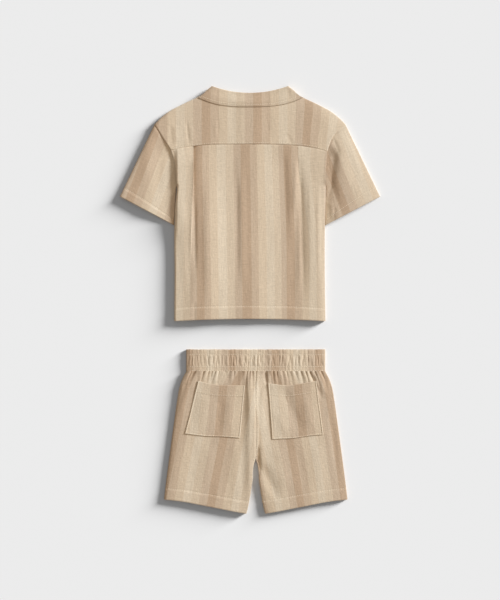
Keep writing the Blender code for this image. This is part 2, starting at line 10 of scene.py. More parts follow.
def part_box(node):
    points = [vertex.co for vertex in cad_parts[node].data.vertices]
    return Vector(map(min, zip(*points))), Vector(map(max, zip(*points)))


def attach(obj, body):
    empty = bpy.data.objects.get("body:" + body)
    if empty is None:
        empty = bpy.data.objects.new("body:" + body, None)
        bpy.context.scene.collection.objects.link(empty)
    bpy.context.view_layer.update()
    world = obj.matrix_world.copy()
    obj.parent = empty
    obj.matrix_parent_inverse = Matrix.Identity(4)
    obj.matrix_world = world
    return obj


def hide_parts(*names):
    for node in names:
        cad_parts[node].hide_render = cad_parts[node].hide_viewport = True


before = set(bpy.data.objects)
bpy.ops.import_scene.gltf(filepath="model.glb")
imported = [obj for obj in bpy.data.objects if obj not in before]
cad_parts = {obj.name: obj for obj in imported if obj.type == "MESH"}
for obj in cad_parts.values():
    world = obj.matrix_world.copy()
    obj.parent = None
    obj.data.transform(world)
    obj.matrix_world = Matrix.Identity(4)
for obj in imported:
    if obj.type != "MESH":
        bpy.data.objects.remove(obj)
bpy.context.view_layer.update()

# A toddler's shirt and shorts in crinkled, striped double gauze, laid flat with their backs up.
# Places are in metres, from the middle of the set: x to the right, y up the picture, z up from the surface.

mm = 0.001
left, right = -1, 1  # the viewer's sides, looking down on the backs

cloth = {
    "wall": 1.3 * mm,  # double gauze, with the room that its crinkle takes
    "layers": 6.6 * mm,  # outside height of two layers that lie on each other
    "lowest": 2.75 * mm,  # of the upper layer's outside, just clear of the lower layer
    "clearance": 0.3 * mm,  # between the two layers where they meet at a side
    "foldRadius": {left: 6.0 * mm, right: 0.9 * mm},  # of the sides' folds, by the side that each one faces
    "stripe": 15.4 * mm,  # width of each of the six stripes of a repeat
    "crinkleDepth": 0.05 * mm,
    "swellDepth": 0.22 * mm,  # broad unevenness of cloth that was washed and laid out by hand
    "edgeRound": 0.55 * mm,  # how far a turned edge rounds down
    # By how much the set lies flatter at its edges, and how far in that reaches
    "pressed": {"shoulder": (0.34, 12 * mm), "side": (0.32, 5 * mm), "outseam": (0.28, 9 * mm)},
    "sharpAngle": 0.6,  # in radians: cut edges and tight folds are corners
}
middle = cloth["layers"] / 2
aboveFold = middle + cloth["clearance"] / 2
belowFold = middle - cloth["clearance"] / 2


# Small tools

def mix(a, b, t):
    return a + (b - a) * t


def smooth(t):
    t = np.clip(t, 0.0, 1.0)
    return t * t * (3 - 2 * t)


def crowd(t, amount):  # shares that crowd at both ends, where cloth bends or ends
    return t - amount * np.sin(2 * np.pi * t) / (2 * np.pi)


def crowdBoth(u, v, amounts):
    return crowd(u, amounts[0]), crowd(v, amounts[1])


def lineThrough(points, side=right, shift=0.0, straight=False):
    # A smooth line through places given in mm, as a function of the share of its length
    p = np.array(points, float) * mm
    p[:, 0] = p[:, 0] * side + shift
    if not straight:
        chord = np.hypot(*np.diff(p, axis=0).T)[:, None]
        slope = np.diff(p, axis=0) / chord
        inner = (slope[:-1] * chord[1:] + slope[1:] * chord[:-1]) / (chord[1:] + chord[:-1])
        tangent = np.vstack([slope[:1], inner, slope[-1:]])
        t = np.linspace(0, 1, 10, endpoint=False)[:, None]
        spans = []
        for a, b, c, d, h in zip(p, p[1:], tangent, tangent[1:], chord):
            spans.append(mix(a, b, t * t * (3 - 2 * t)) + h * (c * t * (1 - t) ** 2 - d * t * t * (1 - t)))
        p = np.vstack(spans + [p[-1:]])
    steps = np.hypot(*np.diff(p, axis=0).T)
    share = np.concatenate([[0], np.cumsum(steps)])

    def at(t):
        want = np.asarray(t, float) * share[-1]
        return np.column_stack([np.interp(want, share, p[:, 0]), np.interp(want, share, p[:, 1])])

    at.points = p
    at.length = share[-1]
    return at


def patchBetween(top, bottom, start, end):
    # The flat patch between four lines: top and bottom run along u, start and end along v
    corners = [top([0.0]), top([1.0]), bottom([0.0]), bottom([1.0])]

    def place(u, v):
        across, down = u[:, None], v[:, None]
        ruled = mix(top(u), bottom(u), down) + mix(start(v), end(v), across)
        return ruled - mix(mix(corners[0], corners[1], across), mix(corners[2], corners[3], across), down)

    return place


def distanceTo(places, lines):
    far = np.full(len(places), 9.0)
    for line in lines:
        for a, b in zip(line, line[1:]):
            run = b - a
            t = np.clip(((places - a) @ run) / max(run @ run, 1e-12), 0, 1)
            far = np.minimum(far, np.hypot(*(places - a - t[:, None] * run).T))
    return far


def roundFold(places, folds):
    # 0 on a fold's edge and 1 where the cloth lies flat; each fold is its line and its radius in plan
    cosine = np.zeros(len(places))
    for line, radius in folds:
        cosine = np.maximum(cosine, 1 - distanceTo(places, [line]) / radius)
    return np.sqrt(1 - cosine ** 2)


def pressed(places, lines, share, reach):
    # Both layers lie closer to the surface towards these edges
    return 1 - share * np.exp(-distanceTo(places, [line.points for line in lines]) / reach)


def turnedEdge(distance, size=1.2 * mm):
    # How far the surface sinks close to a turned edge
    cosine = 1 - np.clip(distance / size, 0, 1)
    return cloth["edgeRound"] * (1 - np.sqrt(1 - cosine ** 2))


def unevenness(x, y, across, along, seed):
    return np.array([noise.noise((a / across, b / along, seed)) for a, b in zip(x, y)])


def crinkle(x, y, seed, calm=1.0):
    # Fine creases that run down the cloth, and its broader swells
    fine = unevenness(x, y, 3.4 * mm, 30 * mm, seed) + 0.6 * unevenness(x, y, 2.3 * mm, 9 * mm, seed + 7)
    broad = unevenness(x, y, 17 * mm, 60 * mm, seed + 3)
    return calm * (cloth["crinkleDepth"] * fine + cloth["swellDepth"] * broad)


def bell(offset, width):
    return np.exp(-(offset / width) ** 2)


def hemGroove(v, hem, length):
    # A hem's sewn row sinks a little
    return 0.25 * mm * bell((v - hem) * length, 1.3 * mm)


def clothPoints(x, y, z, across, along):
    # Places in the scene, and the same points' places on their cloth
    return np.column_stack([x, y, z]), np.column_stack([across, along])


# All in mm, but for the lean: the width of a crease's right flank over that of its left one
crease = namedtuple("crease", "topX topY lowX lowY width height lean", defaults=(1.0,))


def creases(x, y, rows):
    # Soft ridges, or troughs where the height is negative, that die away at both ends
    total = np.zeros(len(x))
    for row in (crease(*values) for values in rows):
        a = np.array([row.topX, row.topY]) * mm
        run = np.array([row.lowX, row.lowY]) * mm - a
        length = math.hypot(*run)
        t = ((x - a[0]) * run[0] + (y - a[1]) * run[1]) / length ** 2
        off = ((x - a[0]) * run[1] - (y - a[1]) * run[0]) / length
        ends = smooth(t / 0.25) * smooth((1 - t) / 0.4)
        width = row.width * mm * np.where(off < 0, row.lean, 1)
        total += row.height * mm * ends * bell(off, width)
    return total


# Finishes

def linearColour(code):
    channels = [int(code[i:i + 2], 16) / 255 for i in (1, 3, 5)]
    return [c / 12.92 if c <= 0.04045 else ((c + 0.055) / 1.055) ** 2.4 for c in channels] + [1.0]


def addNode(tree, kind, links=None, **settings):
    # Adds a node; links go from input to (node, output), and settings are its properties or input values
    made = tree.nodes.new(kind)
    for key, value in settings.items():
        if hasattr(made, key):
            setattr(made, key, value)
        else:
            made.inputs[key.replace("_", " ")].default_value = value
    for key, (source, output) in (links or {}).items():
        tree.links.new(source.outputs[output], made.inputs[key])
    return made


def noiseNode(tree, vector, scale, **settings):
    return addNode(tree, "ShaderNodeTexNoise", {"Vector": vector}, Scale=scale, **settings)


def mathNode(tree, operation, first, second):
    # The first value is (node, output), and the second one may be a number
    if isinstance(second, tuple):
        return addNode(tree, "ShaderNodeMath", {0: first, 1: second}, operation=operation), "Value"
    made = addNode(tree, "ShaderNodeMath", {0: first}, operation=operation)
    made.inputs[1].default_value = second
    return made, "Value"


def bumpNode(tree, height, distance, strength=1.0, **links):
    return addNode(tree, "ShaderNodeBump", {"Height": height, **links}, Strength=strength, Distance=distance)


def emptyMaterial(name):
    made = bpy.data.materials.new(name)
    made.use_nodes = True
    made.node_tree.nodes.clear()
    return made, made.node_tree


def finishMaterial(made, tree, links, values):
    # Its shader, with the linked and the fixed inputs, and its output
    shader = addNode(tree, "ShaderNodeBsdfPrincipled", links)
    for key, value in values.items():
        shader.inputs[key].default_value = value
    addNode(tree, "ShaderNodeOutputMaterial", {"Surface": (shader, "BSDF")})
    return made


gauze = {
    # The six stripes of the repeat, as dyed yarn looks in soft light
    "stripes": ("#b69d83", "#c0aa91", "#cbb79d", "#d0bfa7", "#cbb89f", "#c0ab93"),
    "blend": 0.05,  # share of a stripe over which its yarns mix with the next one's
    "warpStreak": 1.0 * mm,  # real yarns are 0.4 mm apart, which would not show
    "weftStreak": 1.1 * mm,
    "slub": 4.5 * mm,  # thicker places in the yarn
    "crepe": 2.6 * mm,  # width of the finest crinkles
    "contrast": 0.16,  # how much lighter or darker a yarn may be
    "roughness": 0.92,
    "sheen": 0.12,
}


def doubleGauze(name, seed, tint=1.0, crepeDepth=0.28 * mm):
    # Yarn-dyed cotton double gauze, woven loosely and washed so that it crinkles: dull, soft, a little uneven
    made, tree = emptyMaterial(name)
    uv = addNode(tree, "ShaderNodeUVMap", uv_map="cloth")

    def scaled(across, along):
        return addNode(tree, "ShaderNodeMapping", {"Vector": (uv, "UV")},
                       Scale=(1 / across, 1 / along, 1), Location=(seed * 3.7, seed * 1.3, seed)), "Vector"

    def noiseAt(across, along, **settings):
        return noiseNode(tree, scaled(across, along), 1.0, **settings), "Fac"

    def waveAt(direction):
        return addNode(tree, "ShaderNodeTexWave", {"Vector": scaled(1.2 * mm, 1.2 * mm)}, wave_type="BANDS",
                       bands_direction=direction, Scale=0.31, Distortion=1.5, Detail=2.0), "Fac"

    wander = mathNode(tree, "MULTIPLY", noiseAt(1.5 * mm, 2.5 * mm, Detail=1.0), 1.1 * mm)
    split = addNode(tree, "ShaderNodeSeparateXYZ", {"Vector": (uv, "UV")})
    across = mathNode(tree, "ADD", (split, "X"), wander)
    turn = mathNode(tree, "FRACT", mathNode(tree, "DIVIDE", across, 6 * cloth["stripe"]), 0.0)
    ramp = addNode(tree, "ShaderNodeValToRGB", {"Fac": turn})
    colours = [linearColour(code) for code in gauze["stripes"]]
    both = [(a + b) / 2 for a, b in zip(colours[0], colours[-1])]
    wanted = [(0.0, both)]
    for i, colour in enumerate(colours):
        wanted.append(((i + gauze["blend"]) / 6, colour))
        wanted.append(((i + 1 - gauze["blend"]) / 6, colour))
    wanted.append((1.0, both))
    stops = ramp.color_ramp.elements
    while len(stops) < len(wanted):
        stops.new(1.0)
    for stop, (position, colour) in zip(stops, wanted):
        stop.position = position
        stop.color = colour

    # Yarn by yarn unevenness: long streaks of warp, short ones of weft, and mottling
    warp = noiseAt(gauze["warpStreak"], 45 * mm, Detail=2.0)
    weft = noiseAt(14 * mm, gauze["weftStreak"], Detail=2.0)
    slub = noiseAt(gauze["slub"], gauze["slub"], Detail=4.0, Roughness=0.65)
    uneven = mathNode(tree, "ADD", mathNode(tree, "ADD", warp, weft), slub)
    shade = addNode(tree, "ShaderNodeMapRange", {"Value": uneven})
    shade.inputs["From Min"].default_value = 1.0
    shade.inputs["From Max"].default_value = 2.0
    shade.inputs["To Min"].default_value = (1 - gauze["contrast"]) * tint
    shade.inputs["To Max"].default_value = (1 + gauze["contrast"]) * tint
    dyed = addNode(tree, "ShaderNodeVectorMath", {0: (ramp, "Color"), "Scale": (shade, "Result")},
                   operation="SCALE")

    # Relief: crinkles finer than the mesh, and the open weave drawn coarse enough to show
    crepe = noiseAt(gauze["crepe"], 15 * mm, Detail=3.0, Roughness=0.6)
    pucker = noiseAt(4 * mm, 3 * mm, Detail=3.0, Roughness=0.6)
    weave = mathNode(tree, "MULTIPLY", waveAt("X"), waveAt("Y"))
    weaveBump = bumpNode(tree, weave, 0.05 * mm)
    bump = bumpNode(tree, mathNode(tree, "ADD", crepe, pucker), crepeDepth, Normal=(weaveBump, "Normal"))
    return finishMaterial(made, tree, {"Base Color": (dyed, "Vector"), "Normal": (bump, "Normal")},
                          {"Roughness": gauze["roughness"], "Specular IOR Level": 0.25,
                           "Sheen Weight": gauze["sheen"], "Sheen Roughness": 0.5})


def cottonThread(name, code):
    # Spun cotton sewing thread: a little glossier than the cloth
    made, tree = emptyMaterial(name)
    coord = addNode(tree, "ShaderNodeTexCoord")
    ply = noiseNode(tree, (coord, "Object"), 1 / (0.5 * mm), Detail=2.0)
    shade = addNode(tree, "ShaderNodeMapRange", {"Value": (ply, "Fac")})
    shade.inputs["To Min"].default_value = 0.88
    shade.inputs["To Max"].default_value = 1.1
    dyed = addNode(tree, "ShaderNodeVectorMath", {"Scale": (shade, "Result")}, operation="SCALE")
    dyed.inputs[0].default_value = linearColour(code)[:3]
    bump = bumpNode(tree, (ply, "Fac"), 0.05 * mm)
    return finishMaterial(made, tree, {"Base Color": (dyed, "Vector"), "Normal": (bump, "Normal")},
                          {"Roughness": 0.7, "Sheen Weight": 0.1})


def corozo(name):
    # Corozo nut, turned and polished: satin, with a faint grain
    made, tree = emptyMaterial(name)
    coord = addNode(tree, "ShaderNodeTexCoord")
    grain = noiseNode(tree, (coord, "Object"), 1 / (1.6 * mm), Detail=4.0)
    ramp = addNode(tree, "ShaderNodeValToRGB", {"Fac": (grain, "Fac")})
    for stop, position, code in zip(ramp.color_ramp.elements, (0.35, 0.65), ("#8f7252", "#b39a78")):
        stop.position = position
        stop.color = linearColour(code)
    bump = bumpNode(tree, (grain, "Fac"), 0.03 * mm, 0.4)
    return finishMaterial(made, tree, {"Base Color": (ramp, "Color"), "Normal": (bump, "Normal")},
                          {"Roughness": 0.38})


# Making pieces

def finishPiece(made, name, material):
    mesh = bpy.data.meshes.new(name)
    made.to_mesh(mesh)
    made.free()
    mesh.shade_smooth()
    mesh.materials.append(material)
    piece = bpy.data.objects.new(name, mesh)
    bpy.context.scene.collection.objects.link(piece)
    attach(piece, "root")
    return piece


# The form says which way a panel's outside faces, or that it is a tube
panel = namedtuple("panel", "node columns rows finish slot form wall flat share held rests")


def bothSides(node, *values):
    # The same panel on the left and on the right; its last value is what it rests on
    return [panel(f"{node}_{side}", *values[:-1], [values[-1].format(side)]) for side in ("left", "right")]


def sewPanel(row, surface):
    # A grid of cloth laid on its surface, given its cloth coordinates and its wall
    made = bmesh.new()
    layer = made.loops.layers.uv.new("cloth")
    bmesh.ops.create_grid(made, x_segments=row.columns, y_segments=row.rows, size=0.5)
    grid = np.array([v.co[:2] for v in made.verts])
    places, threads = surface(grid[:, 0] + 0.5, 0.5 - grid[:, 1])
    for vert, place in zip(made.verts, places):
        vert.co = place
    for face in made.faces:
        for loop in face.loops:
            loop[layer].uv = threads[loop.vert.index]
    if row.form == "tube":
        bmesh.ops.remove_doubles(made, verts=made.verts, dist=0.02 * mm)
        bmesh.ops.recalc_face_normals(made, faces=made.faces)
    else:
        made.normal_update()
        if (sum(face.normal.z for face in made.faces) > 0) != (row.form == "up"):
            bmesh.ops.reverse_faces(made, faces=made.faces)
    for edge in made.edges:
        edge.smooth = edge.calc_face_angle(math.pi) < cloth["sharpAngle"]
    piece = finishPiece(made, row.node + "_cloth", row.finish)
    thickness = piece.modifiers.new("wall", "SOLIDIFY")
    thickness.thickness = row.wall
    thickness.offset = -1
    return piece


# The stripes' places on each panel: the number of stripes from the start of a dark one
stripe = cloth["stripe"]
pixel = 1.8 * mm  # one pixel of the photograph
middleColumn = 250  # of the photograph


def columnX(column):
    return (column - middleColumn) * pixel


def yokeStripes(x, y):
    # They lean outward at the yoke's right end
    count = (x - columnX(shirt["stripeColumn"])) / (shirt["yokeStripe"] * pixel)
    lean = 0.45 * smooth((x - 60 * mm) / (60 * mm)) * smooth((355 * mm - y) / (80 * mm))
    return count + lean


# Shirt

shirt = {
    # Places on the right side in mm; on the left side x is mirrored
    "shoulder": [(80, 369), (104, 360), (127, 349), (147, 338), (160, 327.5), (171.5, 316)],
    "armhole": {
        left: [(171.5, 316), (158, 294), (141.5, 269), (136.2, 252), (131.5, 219), (131, 205)],
        right: [(171.5, 316), (149.5, 294), (138.5, 267), (136.2, 245), (136, 219), (136, 205)],
    },
    "side": {
        left: [(131, 205), (134.8, 165), (136, 130), (135.6, 50), (136.2, -38)],
        right: [(136, 205), (135.6, 165), (134.8, 130), (134.6, 50), (135.8, -38)],
    },
    "cuffOuter": (234, 186),
    "neckCentre": 352,
    "neckSide": 80,
    "yokeDrop": 13.0 * mm,  # how much higher the yoke's seam is in the middle than at its ends
    "yokePower": 3.5,
    "yokeRaise": 0.5 * mm,
    "hem": 22 * mm,
    "sleeveHem": 18 * mm,
    "hemRise": 4.0 * mm,  # the hem's middle lies higher than its corners
    "hemRaise": 0.5 * mm,
    "frontCrown": 0.9 * mm,  # the back rises over the double placket
    "stripeColumn": 202.2,  # pixel column of a dark stripe's start on the yoke
    "yokeStripe": 8.55,  # width of a stripe in pixels
    "frontStripe": 8.2,
}
shoulderLine, sleeveFold, sideLine = {}, {}, {}
shoulderFolds, sideFolds = [], []
for s in (left, right):
    shoulderLine[s] = lineThrough(shirt["shoulder"], s)
    sleeveFold[s] = lineThrough([shirt["shoulder"][-1], shirt["cuffOuter"]], s, straight=True)
    sideLine[s] = lineThrough(shirt["side"][s], s)
    for line in (shoulderLine, sleeveFold):
        shoulderFolds.append((line[s].points, cloth["foldRadius"][s]))
    sideFolds.append((sideLine[s].points, 0.6 * cloth["foldRadius"][s]))
yokeCorner = {s: np.array(shirt["armhole"][s][2]) * mm * (s, 1) for s in (left, right)}
hemCorner = {s: np.array(shirt["side"][s][-1]) * mm * (s, 1) for s in (left, right)}


def shoulderPress(places):
    return pressed(places, [shoulderLine[right], sleeveFold[right]], *cloth["pressed"]["shoulder"])


def sidePress(places):
    return pressed(places, [sideLine[right]], *cloth["pressed"]["side"])


def yokeSeamY(x):
    side = np.where(x < 0, yokeCorner[left][0], yokeCorner[right][0])
    corner = np.where(x < 0, yokeCorner[left][1], yokeCorner[right][1])
    middleY = yokeCorner[right][1] + shirt["yokeDrop"]
    return middleY + (corner - middleY) * np.abs(x / side) ** shirt["yokePower"]


def yokeSeam(u):
    x = mix(yokeCorner[left][0], yokeCorner[right][0], np.asarray(u))
    return np.column_stack([x, yokeSeamY(x)])


def shirtHem(u, start=hemCorner[left][0], end=hemCorner[right][0]):
    x = mix(start, end, np.asarray(u))
    return np.column_stack([x, hemCorner[right][1] + shirt["hemRise"] * (1 - (x / hemCorner[right][0]) ** 2)])


def neckY(x):
    return mix(shirt["neckCentre"] * mm, shirt["shoulder"][0][1] * mm, (x / (shirt["neckSide"] * mm)) ** 2)


def neckAndShoulders(u):
    reach = shirt["shoulder"][-1][0] * mm
    x = mix(-reach, reach, np.asarray(u))
    line = shoulderLine[right].points
    shoulderY = np.interp(np.abs(x), line[:, 0], line[:, 1])
    return np.column_stack([x, np.where(np.abs(x) < shirt["neckSide"] * mm, neckY(x), shoulderY)])


def frontCrown(x):
    return shirt["frontCrown"] * (1 - smooth((np.abs(x) - 10 * mm) / (22 * mm)))


yokePiece = {
    "crowd": (0.3, 0.5),  # how much its grid lines crowd towards its edges, across and down, as on all the panels
    "width": 300 * mm,  # roughly, for what happens close to its edges
    "depth": 90 * mm,
    "stitch": 2.6 * mm,  # from the seam up to the sewn row
    "creases": [
        (-142, 316, -141, 272, 4, -0.55), (-134, 318, -131, 276, 5, 0.40),
        (-114, 322, -109, 276, 2.6, -0.60), (-106, 316, -103, 280, 4, 0.35),
        (-57, 330, -57, 284, 1.8, -0.42), (-62, 326, -61, 284, 2.6, 0.22),
        (-12, 340, -16, 284, 7, 0.18), (30, 336, 36, 284, 6, -0.22),
        (66, 300, 76, 276, 3.5, -0.45), (96, 336, 88, 280, 8, 0.22),
        (122, 330, 112, 276, 7, -0.25), (146, 322, 134, 276, 5, 0.25),
    ],
}
yokeEdge = {s: lineThrough(shirt["armhole"][s][:3], s) for s in (left, right)}
yokePatch = patchBetween(neckAndShoulders, yokeSeam, yokeEdge[left], yokeEdge[right])


def yokeSurface(u, v):
    u, v = crowdBoth(u, v, yokePiece["crowd"])
    p = yokePatch(u, v)
    x, y = p.T
    count = yokeStripes(x, y)
    seamSide = np.minimum(u, 1 - u) * yokePiece["width"]
    z = cloth["layers"] + shirt["yokeRaise"] + frontCrown(x)
    z = z + crinkle(x, y, 1.0, 0.8) + creases(x, y, yokePiece["creases"])
    pucker = 0.10 * mm * unevenness(x, y, 4.5 * mm, 20 * mm, 4.0)  # the topstitching draws the cloth in
    z = z + pucker * smooth(1 - (y - yokeSeamY(x)) / (14 * mm))
    z = z - 0.6 * turnedEdge((1 - v) * yokePiece["depth"]) - turnedEdge(seamSide)
    z = aboveFold + (z - aboveFold) * roundFold(p, shoulderFolds)
    z = z * shoulderPress(p)
    return clothPoints(x, y, z, count * stripe, y)


# The back: its threads run straight down, and two pleats take up some of its width under the yoke
back = {
    "crowd": (0.25, 0.4),
    "leftStripe": -3.3,  # the count of stripes at each side
    "rightStripe": 17.1,
    # Where the stripes from the second on start: hand weaving and the pleats leave them a little uneven
    "stripeStarts": (-4, 0, 1, 1.84, 2.84, 4, 5, 5.93, 7.2, 8.17, 9.25, 10.34, 11.24, 11.93, 13.07, 14.1,
                     15, 18),
    "stripeNumbers": (-4, 0, 1, 2, 3, 4, 5, 6, 7, 8, 9, 10, 11, 12, 13, 14, 15, 18),
    "middleStripe": 6.5,
    "middleX": (-8.6 * mm, -4.9 * mm),  # under the yoke and at the hem
    "pleats": {
        left: {"from": -1.1, "to": -0.17, "x": -101.5 * mm, "loose": (-108.0, -97.0), "fades": 0.85,
               "tuck": 1.4 * mm, "raised": 1.8 * mm, "sunk": 3.8 * mm, "reach": 6.5 * mm, "flatTop": 0.001},
        right: {"from": 14.0, "to": 15.05, "x": 86.4 * mm, "loose": (93.6, 107.6), "fades": 0.56,
                "tuck": 0, "raised": -1.0 * mm, "sunk": 1.2 * mm, "reach": 8 * mm, "flatTop": 0.14},
    },
    "creases": [
        (-129, 290, -129, 90, 5.5, 5.2, 9), (-100, 176, -99, -110, 24, 3.4, 2.3),
        (-100, 2, -99, -60, 3, -0.5), (-112, 200, -106, -20, 6, -0.9),
        (-99.5, 190, -98.5, 30, 4.5, -1.5, 0.8), (-76, 238, -75, -60, 9, 2.2, 2.8),
        (-24, 238, -23, 20, 3.4, -0.6), (-15.3, 240, -14, 10, 4.5, 1.1, 3.5),
        (-7, 250, -4, -10, 5, -0.4), (60, 280, 66, 100, 22, -2, 0.3),
        (70, 150, 80, -60, 36, -1.6, 0.32), (82, 262, 80, 130, 4.2, 0.8),
        (90, 266, 97, -34, 4.4, -1.6), (107, 240, 110, -20, 6.5, 1.4, 2),
        (122, 200, 123, 20, 3.5, 0.6, 2), (129, 240, 129, 10, 4, -0.6),
        (83.5, 190, 83.5, 20, 8, -1, 0.7), (142, 300, 142, -100, 28, 2.8),
    ],
}
backSide = {s: lineThrough(shirt["armhole"][s][2:] + shirt["side"][s][1:], s) for s in (left, right)}
backPatch = patchBetween(yokeSeam, shirtHem, backSide[left], backSide[right])
backLength = backSide[right].length
backHem = 1 - shirt["hem"] / backLength


def backSurface(u, v):
    u, v = crowdBoth(u, v, back["crowd"])
    leftPleat, rightPleat = back["pleats"][left], back["pleats"][right]
    held = {s: 1 - smooth((v - 0.04) / back["pleats"][s]["fades"]) for s in (left, right)}
    sides = {s: backPatch(np.full(len(u), (s + 1) / 2), v)[:, 0] for s in (left, right)}
    marks = [back["leftStripe"], leftPleat["from"], leftPleat["to"], back["middleStripe"], rightPleat["from"],
             rightPleat["to"], back["rightStripe"]]
    knots = [(mark - back["leftStripe"]) / (back["rightStripe"] - back["leftStripe"]) for mark in marks]
    spots = [sides[left]]
    for s in (left, right):
        for loose in back["pleats"][s]["loose"]:
            spots.append(mix(loose * mm, back["pleats"][s]["x"], held[s]))
    spots.insert(3, mix(*back["middleX"], v))
    spots.append(sides[right])
    x = np.zeros(len(u))
    for i in range(6):
        inside = (u >= knots[i]) & (u <= knots[i + 1])
        t = (u - knots[i]) / (knots[i + 1] - knots[i])
        x = np.where(inside, mix(spots[i], spots[i + 1], t), x)
    y = backPatch((x - sides[left]) / (sides[right] - sides[left]), v)[:, 1]
    p = np.column_stack([x, y])
    count = mix(back["leftStripe"], back["rightStripe"], u)
    z = cloth["layers"] + frontCrown(x)
    flatX = x
    for s, first, second in ((left, 1, 2), (right, 4, 5)):
        pleat = back["pleats"][s]
        edge, under = (spots[first], spots[second]) if s == left else (spots[second], spots[first])
        t = np.clip((u - knots[first]) / (knots[second] - knots[first]), 0, 1)
        t = t if s == left else 1 - t  # 0 at the pleat's edge and 1 where the cloth comes out from under it
        inFold = np.sin(np.pi * t) * held[s]
        x = x + s * pleat["tuck"] * inFold
        beyondEdge = np.clip((flatX - edge) * s, 0, 1)
        beyondUnder = np.clip((under - flatX) * s, 0, 1)
        raised = pleat["raised"] * smooth(v / 0.14) * np.exp(-beyondEdge / (4 * mm))
        sunk = -pleat["sunk"] * smooth(v / pleat["flatTop"]) * np.exp(-beyondUnder / pleat["reach"])
        z = z + held[s] ** 1.6 * mix(raised, sunk, smooth(t / 0.3))
    hemmed = smooth((v - backHem) / 0.006)
    z = z + shirt["hemRaise"] * hemmed
    z = z - hemGroove(v, backHem, backLength)
    threadX = count * stripe
    z = z + crinkle(threadX, y, 2.0) * (1 - 0.4 * hemmed) + creases(x, y, back["creases"])
    z = z - 0.3 * mm * smooth(1 - v * backLength / (3 * mm)) - turnedEdge((1 - v) * backLength)
    z = np.maximum(z, cloth["lowest"])
    z = aboveFold + (z - aboveFold) * roundFold(p, sideFolds)
    z = z * sidePress(p)
    pattern = np.interp(count, back["stripeStarts"], back["stripeNumbers"])
    return clothPoints(x, y, z, pattern * stripe, y)


# The fronts, which lie underneath: the left one laps over the right one, on the outside
front = {
    "crowd": (0.3, 0.4),
    "neck": [(-10, 296), (22, 301), (56, 327), (80, 369)],
    "overlap": 10 * mm,
    "placketLift": 2.3 * mm,  # over the buttons
    "collarLift": 1.8 * mm,  # over the turned-down collar
    "length": 407 * mm,  # from the neck point to the hem
}


def frontUnderside(x, y):
    besideCollar, belowCollar = (np.abs(x) - 97 * mm) / (18 * mm), (y - 262 * mm) / (20 * mm)
    overCollar = front["collarLift"] * (1 - smooth(besideCollar)) * smooth(belowCollar)
    overButtons = front["placketLift"] * (1 - smooth((np.abs(x) - 11 * mm) / (10 * mm)))
    return np.maximum(overCollar, overButtons)


def frontSurface(side):
    neck = lineThrough(front["neck"] + shirt["shoulder"][1:], side)
    edge = lineThrough(shirt["armhole"][side] + shirt["side"][side][1:], side)

    def hem(u):
        return shirtHem(u, -side * front["overlap"], hemCorner[side][0])

    centre = lineThrough([np.array(neck([0.0])[0]) / mm, np.array(hem([0.0])[0]) / mm], straight=True)
    place = patchBetween(neck, hem, centre, edge)

    def surface(u, v):
        u, v = crowdBoth(u, v, front["crowd"])
        p = place(u, v)
        x, y = p.T
        z = frontUnderside(x, y)
        if side == right:
            z = z + (cloth["wall"] + 0.5 * mm) * (1 - smooth((x - 11.2 * mm) / (9 * mm)))
        z = z + np.maximum(0, crinkle(x, y, 5.0 + side)) * 0.8
        z = belowFold + (z - belowFold) * roundFold(p, shoulderFolds + sideFolds)
        z = z * shoulderPress(p) * sidePress(p)
        count = (x - columnX(shirt["stripeColumn"])) / (shirt["frontStripe"] * pixel)
        return clothPoints(x, y, z, count * stripe, y)

    return surface


# Sleeves: flattened tubes with their seams along the lower edge
sleeve = {
    "crowd": (0.55, 0.4),
    "underarm": {left: (132.5, 203), right: (135.8, 205)},
    "cuffInner": {left: (137.0, 134.6), right: (135.2, 134.3)},
    "sink": 3.8 * mm,  # the inner side sinks beside the body
    "sinkReach": {left: 56 * mm, right: 26 * mm},
    "edgeStripe": {left: 0.05, right: 2.9},
    "skew": 0.09,  # the stripes run a little steeper than the outer edge
    "creases": {
        left: [
            (-176, 300, -196, 190, 9, 0.8), (-160, 282, -168, 176, 8, -0.6),
            (-150, 262, -155, 165, 9, 0.4),
        ],
        right: [
            (149, 291, 164, 254, 4, -0.9), (155, 276, 137, 172, 10, -1.9, 0.62),
            (146, 217, 166, 148, 5, -0.8), (146, 266, 143, 216, 4.5, 0.7),
            (160, 300, 176, 165, 12, 1.7, 2.6), (176, 290, 196, 190, 8, -0.5),
            (143, 180, 152, 140, 4.5, 0.8), (152.5, 170, 150, 138, 3, -0.6),
            (172, 300, 202, 205, 6, 0.5),
        ],
    },
}


